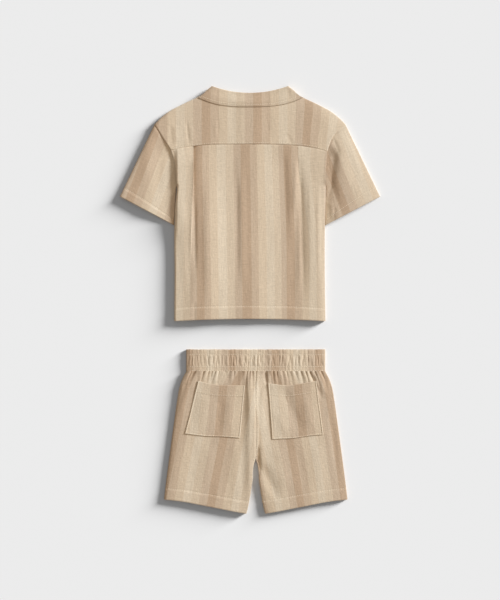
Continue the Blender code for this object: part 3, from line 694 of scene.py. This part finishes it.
def sleeveSurface(side):
    armhole = shirt["armhole"][side][:-1] + [sleeve["underarm"][side]]
    top = lineThrough(armhole, side)
    cuff = lineThrough([shirt["cuffOuter"], sleeve["cuffInner"][side]], side, straight=True)
    inner = lineThrough([sleeve["underarm"][side], sleeve["cuffInner"][side]], side, straight=True)
    outer = sleeveFold[side]
    place = patchBetween(top, cuff, outer, inner)
    radius = cloth["foldRadius"]
    folds = [(shoulderLine[side].points, radius[side]), (outer.points, radius[side])]
    folds.append((inner.points, radius[-side]))
    a, b = outer.points[0], outer.points[-1]
    run = (b - a) / outer.length
    hem = 1 - shirt["sleeveHem"] / outer.length

    def surface(t, v):
        upper = t <= 0.5
        half, v = crowdBoth(np.where(upper, 1 - 2 * t, 2 * t - 1), v, sleeve["crowd"])
        p = place(half, v)
        x, y = p.T
        fromFold = np.abs((x - a[0]) * run[1] - (y - a[1]) * run[0])
        along = (x - a[0]) * run[0] + (y - a[1]) * run[1]
        across = sleeve["edgeStripe"][side] * stripe
        across = across + np.where(upper, fromFold - sleeve["skew"] * along, -fromFold)
        hemmed = smooth((v - hem) / 0.03)
        besideBody = distanceTo(p, [inner.points, top.points[len(top.points) // 2:]])
        near = np.clip(1 - besideBody / sleeve["sinkReach"][side], 0, 1)
        sink = sleeve["sink"] * smooth(v / 0.1 + 0.5) * smooth(near)
        halfway = (cloth["layers"] - sink) / 2
        outside = cloth["layers"] - sink + shirt["hemRaise"] * hemmed
        outside = outside - hemGroove(v, hem, outer.length)
        ripple = crinkle(across, along, 8.0 + side)
        outside = outside + ripple + creases(x, y, sleeve["creases"][side])
        outside = outside - turnedEdge((1 - v) * outer.length)
        outside = outside - 0.75 * mm * smooth(1 - v * outer.length / (6 * mm))  # into the armhole seam
        z = np.where(upper, np.maximum(outside, cloth["lowest"]), np.maximum(0, ripple))
        z = halfway + (z - halfway) * roundFold(p, folds)
        z = z * shoulderPress(p)
        return clothPoints(x, y, z, across, along)

    surface.hem = hem
    return surface


# Collar: the stand goes up from the neck seam, and the fall turns down over the yoke
collar = {
    "foldCentre": 372.2,
    "foldEnd": (67.5, 384.0),
    "edgeCentre": 346.3,
    "edgeEnd": (94.0, 363.4),
    "edgePower": 2.9,
    "bend": 1.6 * mm,  # half the height of the folded collar
    "droop": 2.2 * mm,  # how far it hangs into the neck in the middle
    "fall": 26 * mm,  # depth of the fall
    "stitch": 6 * mm,  # from its edge to the sewn row
    "stand": 0.26,  # the shares of its section at which the stand ends, and at which it has turned over
    "turn": 0.44,
    "creases": [
        (-58, 378, -60, 352, 5, -0.35), (-30, 372, -31, 350, 6, 0.25),
        (14, 370, 12, 350, 5, -0.20), (40, 374, 44, 352, 6, 0.25),
        (66, 378, 72, 360, 5, -0.25),
    ],
}
collarHeight = cloth["layers"] + shirt["yokeRaise"] + cloth["wall"] + 0.5 * mm


def collarLines(u):
    # The fold, the free edge and the neck seam across the collar, with u from -1 to 1
    foldX, foldY = np.array(collar["foldEnd"]) * mm
    edgeX, edgeY = np.array(collar["edgeEnd"]) * mm
    fold = np.column_stack([u * foldX, mix(collar["foldCentre"] * mm, foldY, u * u)])
    edgeCurve = np.abs(u) ** collar["edgePower"]
    edge = np.column_stack([u * edgeX, mix(collar["edgeCentre"] * mm, edgeY, edgeCurve)])
    endX, endY = mix(foldX, edgeX, 0.5), mix(foldY, edgeY, 0.5)
    seamY = neckY(u * endX) + cloth["clearance"] + (endY - neckY(endX)) * u ** 4
    return fold, edge, np.column_stack([u * endX, seamY])


collarEnds = []
for s in (left, right):
    ends = np.array([(s * x, y) for x, y in (collar["foldEnd"], collar["edgeEnd"])]) * mm
    collarEnds.append((ends, 0.6 * cloth["foldRadius"][s]))


def collarSurface(u, v):
    u = 2 * crowd(u, 0.5) - 1
    fold, edge, seam = collarLines(u)
    bend = collar["bend"]
    standShare = np.clip(1 - v / collar["stand"], 0, 1)[:, None]
    angle = np.pi * np.clip((v - collar["stand"]) / (collar["turn"] - collar["stand"]), 0, 1)
    fallShare = crowd(np.clip((v - collar["turn"]) / (1 - collar["turn"]), 0, 1), 0.4)[:, None]
    inward = (edge - fold) / np.hypot(*(edge - fold).T)[:, None]
    turned = (bend * (1 - np.sin(angle)))[:, None] * inward
    stand = mix(fold + bend * inward, seam, standShare)
    fall = mix(fold + bend * inward, edge, fallShare)
    p = np.where(v[:, None] < collar["turn"], fold + turned, fall)
    p = np.where(v[:, None] < collar["stand"], stand, p)
    x, y = p.T
    depth = bend + bend * np.cos(angle)
    overNeck = smooth((y - seam[:, 1]) / (fold[:, 1] - seam[:, 1]))
    count = yokeStripes(x, y)
    z = collarHeight + frontCrown(x) - depth - collar["droop"] * overNeck * (1 - u * u)
    outer = smooth((v - collar["stand"]) / 0.1)
    fromEdge = (1 - fallShare[:, 0]) * collar["fall"]
    z = z + outer * (0.8 * crinkle(x, y, 11.0) + creases(x, y, collar["creases"]))
    z = z - np.where(v > 0.6, turnedEdge(fromEdge), 0)
    z = z - 0.18 * mm * outer * bell(fromEdge - collar["stitch"], 1.2 * mm)
    z = z - np.where(v > 0.6, 0.8 * mm * np.exp(-fromEdge / (3 * mm)), 0)
    foldHeight = collarHeight / 2 + cloth["clearance"] / 2
    z = foldHeight + (z - foldHeight) * roundFold(p, collarEnds)
    return clothPoints(x, y, z, count * stripe, 0.5 + v * 60 * mm)


wing = {"notch": (26, 316), "tip": (70, 290)}


def wingSurface(side):
    fold = lineThrough([collar["foldEnd"], wing["notch"]], side, straight=True)
    edge = lineThrough([collar["edgeEnd"], wing["tip"]], side, straight=True)
    end = lineThrough([collar["foldEnd"], collar["edgeEnd"]], side, straight=True)
    point = lineThrough([wing["notch"], wing["tip"]], side, straight=True)
    place = patchBetween(end, point, fold, edge)

    def surface(u, v):
        v = crowd(v, 0.6)
        p = place(u, v)
        x, y = p.T
        z = np.maximum(0, 0.5 * crinkle(x, y, 13.0 + side))
        foldHeight = collarHeight / 2 - cloth["clearance"] / 2
        z = foldHeight + (z - foldHeight) * roundFold(p, [(end.points, 0.6 * cloth["foldRadius"][side])])
        return clothPoints(x, y, z, u * 34 * mm, v * 75 * mm)

    return surface


# Shorts, whose centre line lies a little to the right of the shirt's
shorts = {
    "crowd": (0.35, 0.35),
    "shift": 10.4 * mm,
    "waist": -127.9 * mm,
    "outseam": [(125, -127.9), (133, -144), (137.5, -158), (141, -178), (147, -220), (155.7, -284),
                (163.5, -345), (165, -358.5)],
    "centre": [(0.15, -127.9), (0.8, -287)],
    "inseam": [(0.8, -287), (3.6, -296), (6.2, -328), (9.5, -349), (13.5, -371), (16.8, -384)],
    "hemLine": [(16.8, -384), (30, -381.6), (82, -371.5), (143, -360.5), (165, -358.5)],
    "hem": 20 * mm,
    "hemRaise": 0.5 * mm,
    "gatherWidth": 8.0 * mm,
    "gatherHeight": 2.4 * mm,
    "gatherFade": 26 * mm,
    # The count of stripes at the outseam, and the width of one, at the waist and at the hem
    "stripeAtSide": {left: (-0.4, 0.66), right: (19.0, 18.95)},
    "stripeWidth": {left: (8.1, 8.0), right: (8.1, 7.15)},
    "roll": {left: (1.0 * mm, 8 * mm), right: (3.1 * mm, 10 * mm)},  # how the inner edges fall away
    "centreCreases": [(1.0, -118, 0.2, -410, 9.0, 3.4, 2.2), (-1.0, -120, 0.0, -230, 6.0, 1.6, 2.0)],
    "creases": {
        left: [
            (-20, -246, -28, -370, 8, 0.7), (-40, -252, -56, -360, 10, -0.6),
            (-68, -256, -84, -350, 9, 0.6), (-96, -250, -112, -350, 9, -0.5),
            (-104, -130, -130, -220, 6, 0.9), (-126, -240, -140, -340, 8, 0.4),
        ],
        right: [
            (106, -127, 134, -186, 3.6, -1.1), (116, -127, 141, -178, 3.6, 0.7),
            (97, -127, 124, -176, 3.4, 0.5), (27, -126, 30, -156, 3, -1.6),
            (18, -290, 54, -366, 9, -2), (38, -290, 70, -344, 11, 0.6),
            (46, -256, 70, -350, 10, 0.7), (84, -256, 102, -356, 9, -0.6),
            (118, -250, 130, -350, 9, 0.7), (146, -200, 158, -330, 5, -0.8),
            (23, -150, 22, -250, 5, 0.7), (14, -222, 14, -330, 5, -1.3),
            (12, -256, 17, -320, 7, -2.2, 0.6),
        ],
    },
}
legLines = {}
for s in (left, right):
    legLines[s] = {
        "out": lineThrough(shorts["outseam"], s, shorts["shift"]),
        "inner": lineThrough(shorts["centre"] + shorts["inseam"][1:], s, shorts["shift"]),
        "in": lineThrough(shorts["inseam"], s, shorts["shift"]),
        "waist": lineThrough([shorts["centre"][0], shorts["outseam"][0]], s, shorts["shift"], straight=True),
        "hem": lineThrough(shorts["hemLine"], s, shorts["shift"]),
    }


def gatherWave(x, y, across, along, seed):
    # Uneven rounded pleats with narrow gaps between them
    return np.clip(2.6 * np.abs(unevenness(x, y, across, along, seed)), 0, 1.15) ** 0.7


def legSurface(side, upper):
    lines = legLines[side]
    place = patchBetween(lines["waist"], lines["hem"], lines["inner"], lines["out"])
    folds = [(lines["out"].points, cloth["foldRadius"][side])]
    folds.append((lines["in"].points, 0.5 * cloth["foldRadius"][-side]))
    length = lines["out"].length
    hem = 1 - shorts["hem"] / length
    sideCount, width = shorts["stripeAtSide"][side], shorts["stripeWidth"][side]

    def surface(u, v):
        u, v = crowdBoth(u, v, shorts["crowd"])
        p = place(u, v)
        x, y = p.T
        outX = place(np.ones(len(u)), v)[:, 0]
        count = mix(*sideCount, v) - side * np.abs(outX - x) / (mix(*width, v) * pixel)
        hemmed = smooth((v - hem) / 0.008)
        ripple = crinkle(count * stripe, y, 17.0 + side + 2 * upper, 0.9)
        if upper:
            uneven = unevenness(x, np.zeros(len(x)), 7 * mm, 1.0, 3.0 + side)
            fade = shorts["gatherFade"] * (0.75 + 0.6 * uneven)
            fall = np.exp(-np.clip(shorts["waist"] - y, 0, 1) / np.clip(fade, 8 * mm, 60 * mm))
            wave = gatherWave(u * 125 * mm, y, shorts["gatherWidth"], 90 * mm, 23.0 + side)
            z = cloth["layers"] + ripple + shorts["gatherHeight"] * fall * wave
            z = z + creases(x, y, shorts["centreCreases"] + shorts["creases"][side])
            z = z + shorts["hemRaise"] * hemmed
            z = z - hemGroove(v, hem, length)
            z = z - turnedEdge((1 - v) * length)
            centreSeam = np.abs(x - shorts["shift"])
            seamed = smooth((y + 292 * mm) / (8 * mm))
            z = z - 0.3 * mm * bell(centreSeam, 1.0 * mm) * seamed
            z = z + 0.2 * mm * bell(centreSeam - 3 * mm, 2.2 * mm) * seamed
            depth, reach = shorts["roll"][side]
            z = z - depth * np.exp(-distanceTo(p, [lines["in"].points]) / reach)
            z = np.maximum(z, cloth["lowest"])
            z = aboveFold + (z - aboveFold) * roundFold(p, folds)
            y = y + 0.3 * mm * smooth(1 - v * length / (2 * mm))
        else:
            z = np.maximum(0, ripple)
            z = belowFold + (z - belowFold) * roundFold(p, folds)
        z = z * pressed(p, [lines["out"]], *cloth["pressed"]["outseam"])
        return clothPoints(x, y, z, count * stripe, y)

    surface.hem = hem
    return surface


band = {
    "half": 125 * mm,
    "top": -88.9 * mm,
    "bottom": -127.6 * mm,
    "height": 7.6 * mm,
    "wall": 1.5 * mm,
    "rows": (8.6, 30.6, 37.6),  # the three sewn rows, in mm down from the top
    # How far the gathers puff out, at places in mm down from the top: a header, the casing and a seam
    "puff": ((0, 0.35), (2.5, 0.5), (7, 0.4), (8.6, 0), (10.4, 0.6), (14, 1), (25, 1), (29, 0.6), (30.6, 0),
             (32.2, 0.3), (36, 0.3), (37.6, 0), (38.7, 0.35)),
    "press": {left: 0.45, right: 0.36},  # how much flatter its ends are
    "endRadius": {left: 3.2 * mm, right: 1.4 * mm},
    "gatherWidth": 6.2 * mm,
    "gatherHeight": 1.2 * mm,
    "stripeColumn": 185.5,  # pixel column of the first dark stripe
    "stripeWidth": 7.2,  # of a gathered stripe, in pixels
}


def bandSurface(t, v):
    upper = t <= 0.5
    half = crowd(np.where(upper, 1 - 2 * t, 2 * t - 1), 0.12)
    x = shorts["shift"] + mix(-band["half"], band["half"], half)
    down = v * (band["top"] - band["bottom"])
    y = band["top"] - down
    puff = np.interp(down / mm, *zip(*band["puff"]))
    lean = 1.2 * mm * unevenness(x, y, 12 * mm, 14 * mm, 31.0)
    wave = gatherWave(x + lean, y, band["gatherWidth"], 60 * mm, 29.0)
    fine = (0.12 + 0.25 * puff) * mm * unevenness(x, y, 2.4 * mm, 12 * mm, 33.0)
    rise = puff * band["gatherHeight"] * (wave - 0.4) + fine
    below = np.maximum(0, 0.7 * puff * band["gatherHeight"] * (1 - wave))
    z = np.where(upper, band["height"] + rise - 0.4 * mm, below)
    p = np.column_stack([x, y])
    ends = []
    for s in (left, right):
        endX = shorts["shift"] + s * band["half"]
        ends.append((np.array([(endX, band["top"]), (endX, band["bottom"])]), band["endRadius"][s]))
    z = z - upper * turnedEdge(down)
    halfway = band["height"] / 2
    z = halfway + (z - halfway) * roundFold(p, ends)
    press = np.where(x < shorts["shift"], band["press"][left], band["press"][right])
    z = z * (1 - press * np.exp(-(band["half"] - np.abs(x - shorts["shift"])) / (14 * mm)))
    count = (x / pixel + middleColumn - band["stripeColumn"]) / band["stripeWidth"]
    wander = 0.5 * unevenness(x, y, 5 * mm, 100 * mm, 35.0) + 0.3 * (wave - 0.5)
    y = y + wander * mm * smooth(1 - down / (12 * mm))  # the header's edge is a little scalloped
    return clothPoints(x, y, z, count * stripe * np.where(upper, 1, -1), y)


pocket = {
    "crowd": (0.6, 0.5),
    "topIn": {left: (19.4, -153.0), right: (21.8, -150.0)},
    "topOut": {left: (103.5, -144.8), right: (108.5, -145.2)},
    "lowOut": {left: (127.5, -240.8), right: (121.4, -241.5)},
    "lowIn": {left: (28.6, -248.5), right: (29.2, -250.2)},
    "width": 86 * mm,  # roughly, for what happens close to its edges
    "depth": 96 * mm,
    "stitch": 1.3 * mm,  # from the edge to the sewn row
    "sag": {left: 3.4 * mm, right: 5.0 * mm},
    "hem": 20.5 * mm,
    "hemRaise": 0.25 * mm,
    "rim": 0.3 * mm,  # the folded edge stands a little higher than the cloth inside its sewn row
    "wall": 1.0 * mm,
    "stripeColumn": {left: 217.0, right: 296.5},  # pixel column of a dark stripe's start, half way down
    "stripeWidth": 8.3,  # in pixels
    "creases": {
        left: [
            (-52, -172, -58, -250, 7, -0.9), (-34, -166, -40, -246, 8, 0.8),
            (-78, -164, -88, -240, 9, 0.7), (-98, -166, -108, -236, 7, -0.5),
        ],
        right: [
            (56, -150, 96, -250, 10, -1.7), (48, -196, 66, -246, 8, 0.8),
            (98, -166, 112, -240, 8, 0.9), (38, -160, 44, -246, 6, 0.5),
        ],
    },
}


def pocketSurface(side):
    def edge(a, b, bow=0.0):
        line = lineThrough([pocket[a][side], pocket[b][side]], side, shorts["shift"], straight=True)

        def at(t):
            t = np.asarray(t, float)
            p = line(t)
            return p + np.column_stack([0 * t, -bow * np.sin(np.pi * t) + 0.5 * mm * np.sin(9 * t + side)])

        return at

    place = patchBetween(edge("topIn", "topOut", pocket["sag"][side]), edge("lowIn", "lowOut", 0.8 * mm),
                         edge("topIn", "lowIn"), edge("topOut", "lowOut"))
    depth = (pocket["topIn"][side][1] - pocket["lowIn"][side][1]) * mm
    hem = pocket["hem"] / depth

    def surface(u, v):
        u, v = crowdBoth(u, v, pocket["crowd"])
        p = place(u, v)
        x, y = p.T
        fromSide = np.minimum(np.minimum(u, 1 - u) * pocket["width"], (1 - v) * depth)
        lean = side * (y + 200 * mm) * -0.10
        count = 12 + (x - columnX(pocket["stripeColumn"][side]) - lean) / (pocket["stripeWidth"] * pixel)
        fall = np.exp(-np.clip(shorts["waist"] - y, 0, 1) / shorts["gatherFade"])
        z = cloth["layers"] + 0.7 * shorts["gatherHeight"] * fall + pocket["wall"] + 0.2 * mm
        z = z + 0.5 * crinkle(x, y, 41.0 + side) + creases(x, y, pocket["creases"][side])
        z = z + 0.5 * mm * np.sin(np.pi * u) * np.sin(np.pi * v)
        z = z + pocket["rim"] * bell(fromSide - 0.9 * mm, 1.1 * mm)
        z = z - 0.15 * mm * bell(fromSide - 3.0 * mm, 1.0 * mm) - turnedEdge(fromSide, 0.6 * mm)
        hemmed = 1 - smooth((v - hem + 0.006) / 0.01)
        z = z + pocket["hemRaise"] * hemmed - turnedEdge(v * depth)
        return clothPoints(x, y, z, count * stripe, y)

    surface.hem = hem - 1.2 * mm / depth
    return surface


print("building the cloth")
shirtCloth = doubleGauze("shirt_double_gauze", 1.0)
collarCloth = doubleGauze("collar_double_gauze", 2.0, 0.99)
sleeveCloth = doubleGauze("sleeve_double_gauze", 3.0)
shortsCloth = doubleGauze("shorts_double_gauze", 4.0, 0.97, 0.40 * mm)
bandCloth = doubleGauze("waistband_double_gauze", 5.0, 0.99, 0.40 * mm)
pocketCloth = doubleGauze("pocket_double_gauze", 6.0, 0.97, 0.46 * mm)

surfaces = {"shirt_yoke": yokeSurface, "shirt_back": backSurface, "collar": collarSurface}
surfaces["waistband"] = bandSurface
for s, side in ((left, "left"), (right, "right")):
    surfaces["shirt_front_" + side] = frontSurface(s)
    surfaces["sleeve_" + side] = sleeveSurface(s)
    surfaces["collar_wing_" + side] = wingSurface(s)
    surfaces["shorts_back_" + side] = legSurface(s, True)
    surfaces["shorts_front_" + side] = legSurface(s, False)
    surfaces["pocket_" + side] = pocketSurface(s)
thin, thick = cloth["wall"], cloth["wall"] + shirt["yokeRaise"]
bothFronts = ["shirt_front_left_cloth", "shirt_front_right_cloth"]
panels = [
    panel("shirt_yoke", 250, 70, shirtCloth, "shirt_cloth", "up", thick,
          (0.343, 0.105), 0.80, "laid", bothFronts),
    panel("shirt_back", 225, 165, shirtCloth, "shirt_cloth", "up", thin,
          (0.305, 0.320), 0.98, "laid", bothFronts),
    *bothSides("shirt_front", 80, 150, shirtCloth, "shirt_cloth", "down", thin,
               (0.182, 0.407), 0.80, "laid", "floor"),
    *bothSides("sleeve", 260, 72, sleeveCloth, "shirt_cloth", "tube", thin,
               (0.250, 0.165), 0.60, "folded", "floor"),
    panel("collar", 160, 60, collarCloth, "collar_cloth", "up", thin,
          (0.190, 0.055), 0.95, "folded", ["shirt_yoke_cloth"]),
    *bothSides("collar_wing", 24, 50, collarCloth, "collar_cloth", "down", thin,
               (0.050, 0.080), 0.95, "laid", "floor"),
    *bothSides("shorts_back", 125, 130, shortsCloth, "shorts_cloth", "up", thin,
               (0.165, 0.256), 0.85, "laid", "shorts_front_{}_cloth"),
    *bothSides("shorts_front", 70, 90, shortsCloth, "shorts_cloth", "down", thin,
               (0.165, 0.256), 0.85, "laid", "floor"),
    panel("waistband", 560, 44, bandCloth, "waistband_cloth", "tube", band["wall"],
          (0.560, 0.039), 1.0, "gathered", ["floor"]),
    *bothSides("pocket", 90, 90, pocketCloth, "pocket_cloth", "up", pocket["wall"],
               (0.105, 0.105), 0.85, "laid", "shorts_back_{}_cloth"),
]
for row in panels:
    piece = sewPanel(row, surfaces[row.node])
    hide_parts(row.node)
    print("made", piece.name)


# Sewing thread

thread = {
    "length": 2.5 * mm,
    "pitch": 3.2 * mm,
    "radius": 0.36 * mm,
    "lift": 0.13 * mm,  # of the rows that face up
    "colour": "#e5d8c0",
}


def pathOn(surface, start, end, count=500):
    t = np.linspace(0, 1, count)
    return surface(mix(start[0], end[0], t), mix(start[1], end[1], t))[0]


def sewRow(made, path, up=1):
    # Stitches end to end along a path, each one a small bead that sinks at its ends
    steps = np.linalg.norm(np.diff(path, axis=0), axis=1)
    run = np.concatenate([[0], np.cumsum(steps)])

    def at(distance):
        return Vector([np.interp(distance, run, path[:, k]) for k in range(3)])

    for i in range(int(run[-1] / thread["pitch"])):
        begin = (i + 0.12) * thread["pitch"]
        a, b = at(begin), at(begin + thread["length"])
        along = (b - a).normalized()
        side = Vector((0, 0, up)).cross(along).normalized()
        turn = Matrix((along, side, along.cross(side))).transposed().to_4x4()
        size = Matrix.Diagonal((thread["length"] / 2, thread["radius"], thread["radius"] * 0.8, 1))
        place = Matrix.Translation((a + b) / 2 + Vector((0, 0, max(up, 0) * thread["lift"])))
        bmesh.ops.create_icosphere(made, subdivisions=1, radius=1, matrix=place @ turn @ size)


seamThread = cottonThread("sewing_thread", thread["colour"])
seam = namedtuple("seam", "node start end up")
inverseCrowd = {}


def uncrowd(value, amount):
    # The grid share at which a share lies that its surface crowds by this amount
    if amount not in inverseCrowd:
        t = np.linspace(0, 1, 2001)
        inverseCrowd[amount] = (crowd(t, amount), t)
    return float(np.interp(value, *inverseCrowd[amount]))


def acrossRow(node, down, start, end, up=1):
    return seam(node, (start, down), (end, down), up)


yokeRow = uncrowd(1 - yokePiece["stitch"] / yokePiece["depth"], yokePiece["crowd"][1])
hemRow = uncrowd(backHem, back["crowd"][1])
frontHem = uncrowd(1 - shirt["hem"] / front["length"], front["crowd"][1])
legRow = uncrowd(surfaces["shorts_back_left"].hem, shorts["crowd"][1])
shirtSeams = [
    acrossRow("shirt_yoke", yokeRow, 0.012, 0.988),
    acrossRow("shirt_back", hemRow, 0.02, 0.98),
    acrossRow("shirt_front_left", frontHem, 0.05, 0.97, -1),
    acrossRow("shirt_front_right", frontHem, 0.16, 0.97, -1),
]
for node in ("sleeve_left", "sleeve_right"):
    cuffRow = uncrowd(surfaces[node].hem, sleeve["crowd"][1])
    shirtSeams += [acrossRow(node, cuffRow, 0.03, 0.48), acrossRow(node, cuffRow, 0.52, 0.97, -1)]
shirtSeams.append(acrossRow("collar", 0.86, 0.06, 0.94))
for node in ("collar_wing_left", "collar_wing_right"):
    shirtSeams.append(seam(node, (0.86, 0.12), (0.86, 0.92), -1))
shortsSeams = []
for node in ("shorts_back_left", "shorts_back_right"):
    shortsSeams += [acrossRow(node, legRow, 0.02, 0.985), seam(node, (0.022, 0.01), (0.022, 0.60), 1)]
for node in ("shorts_front_left", "shorts_front_right"):
    shortsSeams.append(acrossRow(node, legRow, 0.02, 0.985, -1))
for down in band["rows"]:
    share = down * mm / (band["top"] - band["bottom"])
    shortsSeams += [acrossRow("waistband", share, 0.01, 0.49), acrossRow("waistband", share, 0.51, 0.99, -1)]
inset = uncrowd(pocket["stitch"] / pocket["width"], pocket["crowd"][0])
low = uncrowd(1 - pocket["stitch"] / pocket["depth"], pocket["crowd"][1])
for node in ("pocket_left", "pocket_right"):
    shortsSeams.append(seam(node, (inset, 0.03), (inset, low), 1))
    shortsSeams.append(seam(node, (1 - inset, 0.03), (1 - inset, low), 1))
    shortsSeams.append(acrossRow(node, low, inset, 1 - inset))
    hemRow = uncrowd(surfaces[node].hem, pocket["crowd"][1])
    shortsSeams.append(acrossRow(node, hemRow, 0.02, 0.98))

for name, rows, slotName in (("shirt_stitching", shirtSeams, "shirt_cloth"),
                             ("shorts_stitching", shortsSeams, "shorts_cloth")):
    made = bmesh.new()
    for row in rows:
        sewRow(made, pathOn(surfaces[row.node], row.start, row.end), row.up)
    piece = finishPiece(made, name, seamThread)
    print("sewed", name, len(piece.data.polygons), "faces")


# Buttons, under the left front

button = {
    # Radius and height in mm, from the middle of its dished face round its rim to the middle of its back
    "profile": [(0, 0.5), (3.6, 0.5), (4.1, 0.3), (4.5, 0.05), (4.9, 0), (5.3, 0.15), (5.5, 0.5), (5.5, 1.5),
                (5.3, 1.85), (5.0, 2.0), (0, 2.0)],
    "spread": 1.5 * mm,  # from its middle to each of its two threads
    "threadHalf": 1.8 * mm,
}
nut = corozo("turned_corozo")
for index in range(1, 6):
    low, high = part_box(f"button_{index}")
    centre = (low + high) / 2
    made = bmesh.new()
    verts = [made.verts.new((r * mm, 0, h * mm)) for r, h in button["profile"]]
    edges = [made.edges.new(pair) for pair in zip(verts, verts[1:])]
    bmesh.ops.spin(made, geom=verts + edges, cent=(0, 0, 0), axis=(0, 0, 1), angle=math.tau, steps=48,
                   use_merge=True)
    bmesh.ops.remove_doubles(made, verts=made.verts, dist=1e-6)
    bmesh.ops.recalc_face_normals(made, faces=made.faces)
    bmesh.ops.translate(made, verts=made.verts, vec=(centre.x, centre.y, low.z))
    piece = finishPiece(made, f"corozo_button_{index}", nut)
    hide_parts(f"button_{index}")
    made = bmesh.new()
    for s in (left, right):
        x, half = centre.x + s * button["spread"], button["threadHalf"]
        ends = [(x, centre.y - half, low.z + 0.5 * mm), (x, centre.y + half, low.z + 0.5 * mm)]
        sewRow(made, np.array(ends), -1)
    finishPiece(made, f"button_thread_{index}", seamThread)
print("made the buttons")


# Floor, light and camera

studio = {
    "cameraHeight": 2.55,
    "frameHeight": 600 * pixel,
    "floor": "#e9e9e9",
    "floorHalf": 40,  # metres, so that no view meets its end
    "floorGap": 0.3 * mm,
    "world": 0.27,
    # Each light is a broad disc a long way off: its name, bearing from the picture's right towards its top,
    # elevation and width in degrees, strength, colour, and whether it falls on the paper or on the clothes
    "lights": [
        ("long_shadow", 29, 11.8, 17, 11.6, (1, 1, 1), "paper"),
        ("key", 31, 24, 18, 4.55, (0.93, 1.0, 1.09), "clothes"),
        ("fill", 31, 90, 90, 0.55, (1.3, 1.0, 0.65), "clothes"),
    ],
}


def paperFloor():
    # Matt seamless paper
    made, tree = emptyMaterial("seamless_paper")
    coord = addNode(tree, "ShaderNodeTexCoord")
    grain = noiseNode(tree, (coord, "Object"), 1 / (3 * mm), Detail=2.0)
    bump = bumpNode(tree, (grain, "Fac"), 0.02 * mm, 0.2)
    return finishMaterial(made, tree, {"Normal": (bump, "Normal")},
                          {"Base Color": linearColour(studio["floor"]), "Roughness": 0.95,
                           "Specular IOR Level": 0.1})


made = bmesh.new()
bmesh.ops.create_grid(made, x_segments=1, y_segments=1, size=studio["floorHalf"])
bmesh.ops.translate(made, verts=made.verts, vec=(0, 0, -studio["floorGap"]))
mesh = bpy.data.meshes.new("floor")
made.to_mesh(mesh)
made.free()
mesh.materials.append(paperFloor())
floor = bpy.data.objects.new("floor", mesh)
bpy.context.scene.collection.objects.link(floor)

world = bpy.data.worlds.new("studio")
world.use_nodes = True
world.node_tree.nodes["Background"].inputs["Color"].default_value = (1.0, 1.0, 1.0, 1)
world.node_tree.nodes["Background"].inputs["Strength"].default_value = studio["world"]
bpy.context.scene.world = world

# The low light that draws the long, soft shadow would rake the cloth, so the clothes have a higher one
litBy = {}
for kind, state in (("paper", "INCLUDE"), ("clothes", "EXCLUDE")):
    litBy[kind] = bpy.data.collections.new("lit_" + kind)
    litBy[kind].objects.link(floor)
    litBy[kind].collection_objects[0].light_linking.link_state = state
for name, bearing, elevation, width, strength, colour, kind in studio["lights"]:
    turn, rise = math.radians(bearing), math.radians(elevation)
    towards = Vector((math.cos(turn) * math.cos(rise), math.sin(turn) * math.cos(rise), math.sin(rise)))
    lamp = bpy.data.lights.new(name, "SUN")
    lamp.energy = strength
    lamp.color = colour
    lamp.angle = math.radians(width)
    light = bpy.data.objects.new(name, lamp)
    light.location = 3 * towards
    light.rotation_euler = towards.to_track_quat("Z", "Y").to_euler()
    light.light_linking.receiver_collection = litBy[kind]
    bpy.context.scene.collection.objects.link(light)

camera = bpy.data.cameras.new("camera")
camera.sensor_width = 36
camera.lens = camera.sensor_width * studio["cameraHeight"] / studio["frameHeight"]
cameraBody = bpy.data.objects.new("camera", camera)
cameraBody.location = (0, 0, studio["cameraHeight"])
bpy.context.scene.collection.objects.link(cameraBody)
bpy.context.scene.camera = cameraBody
bpy.context.scene.view_settings.view_transform = "Standard"
print("set the studio")
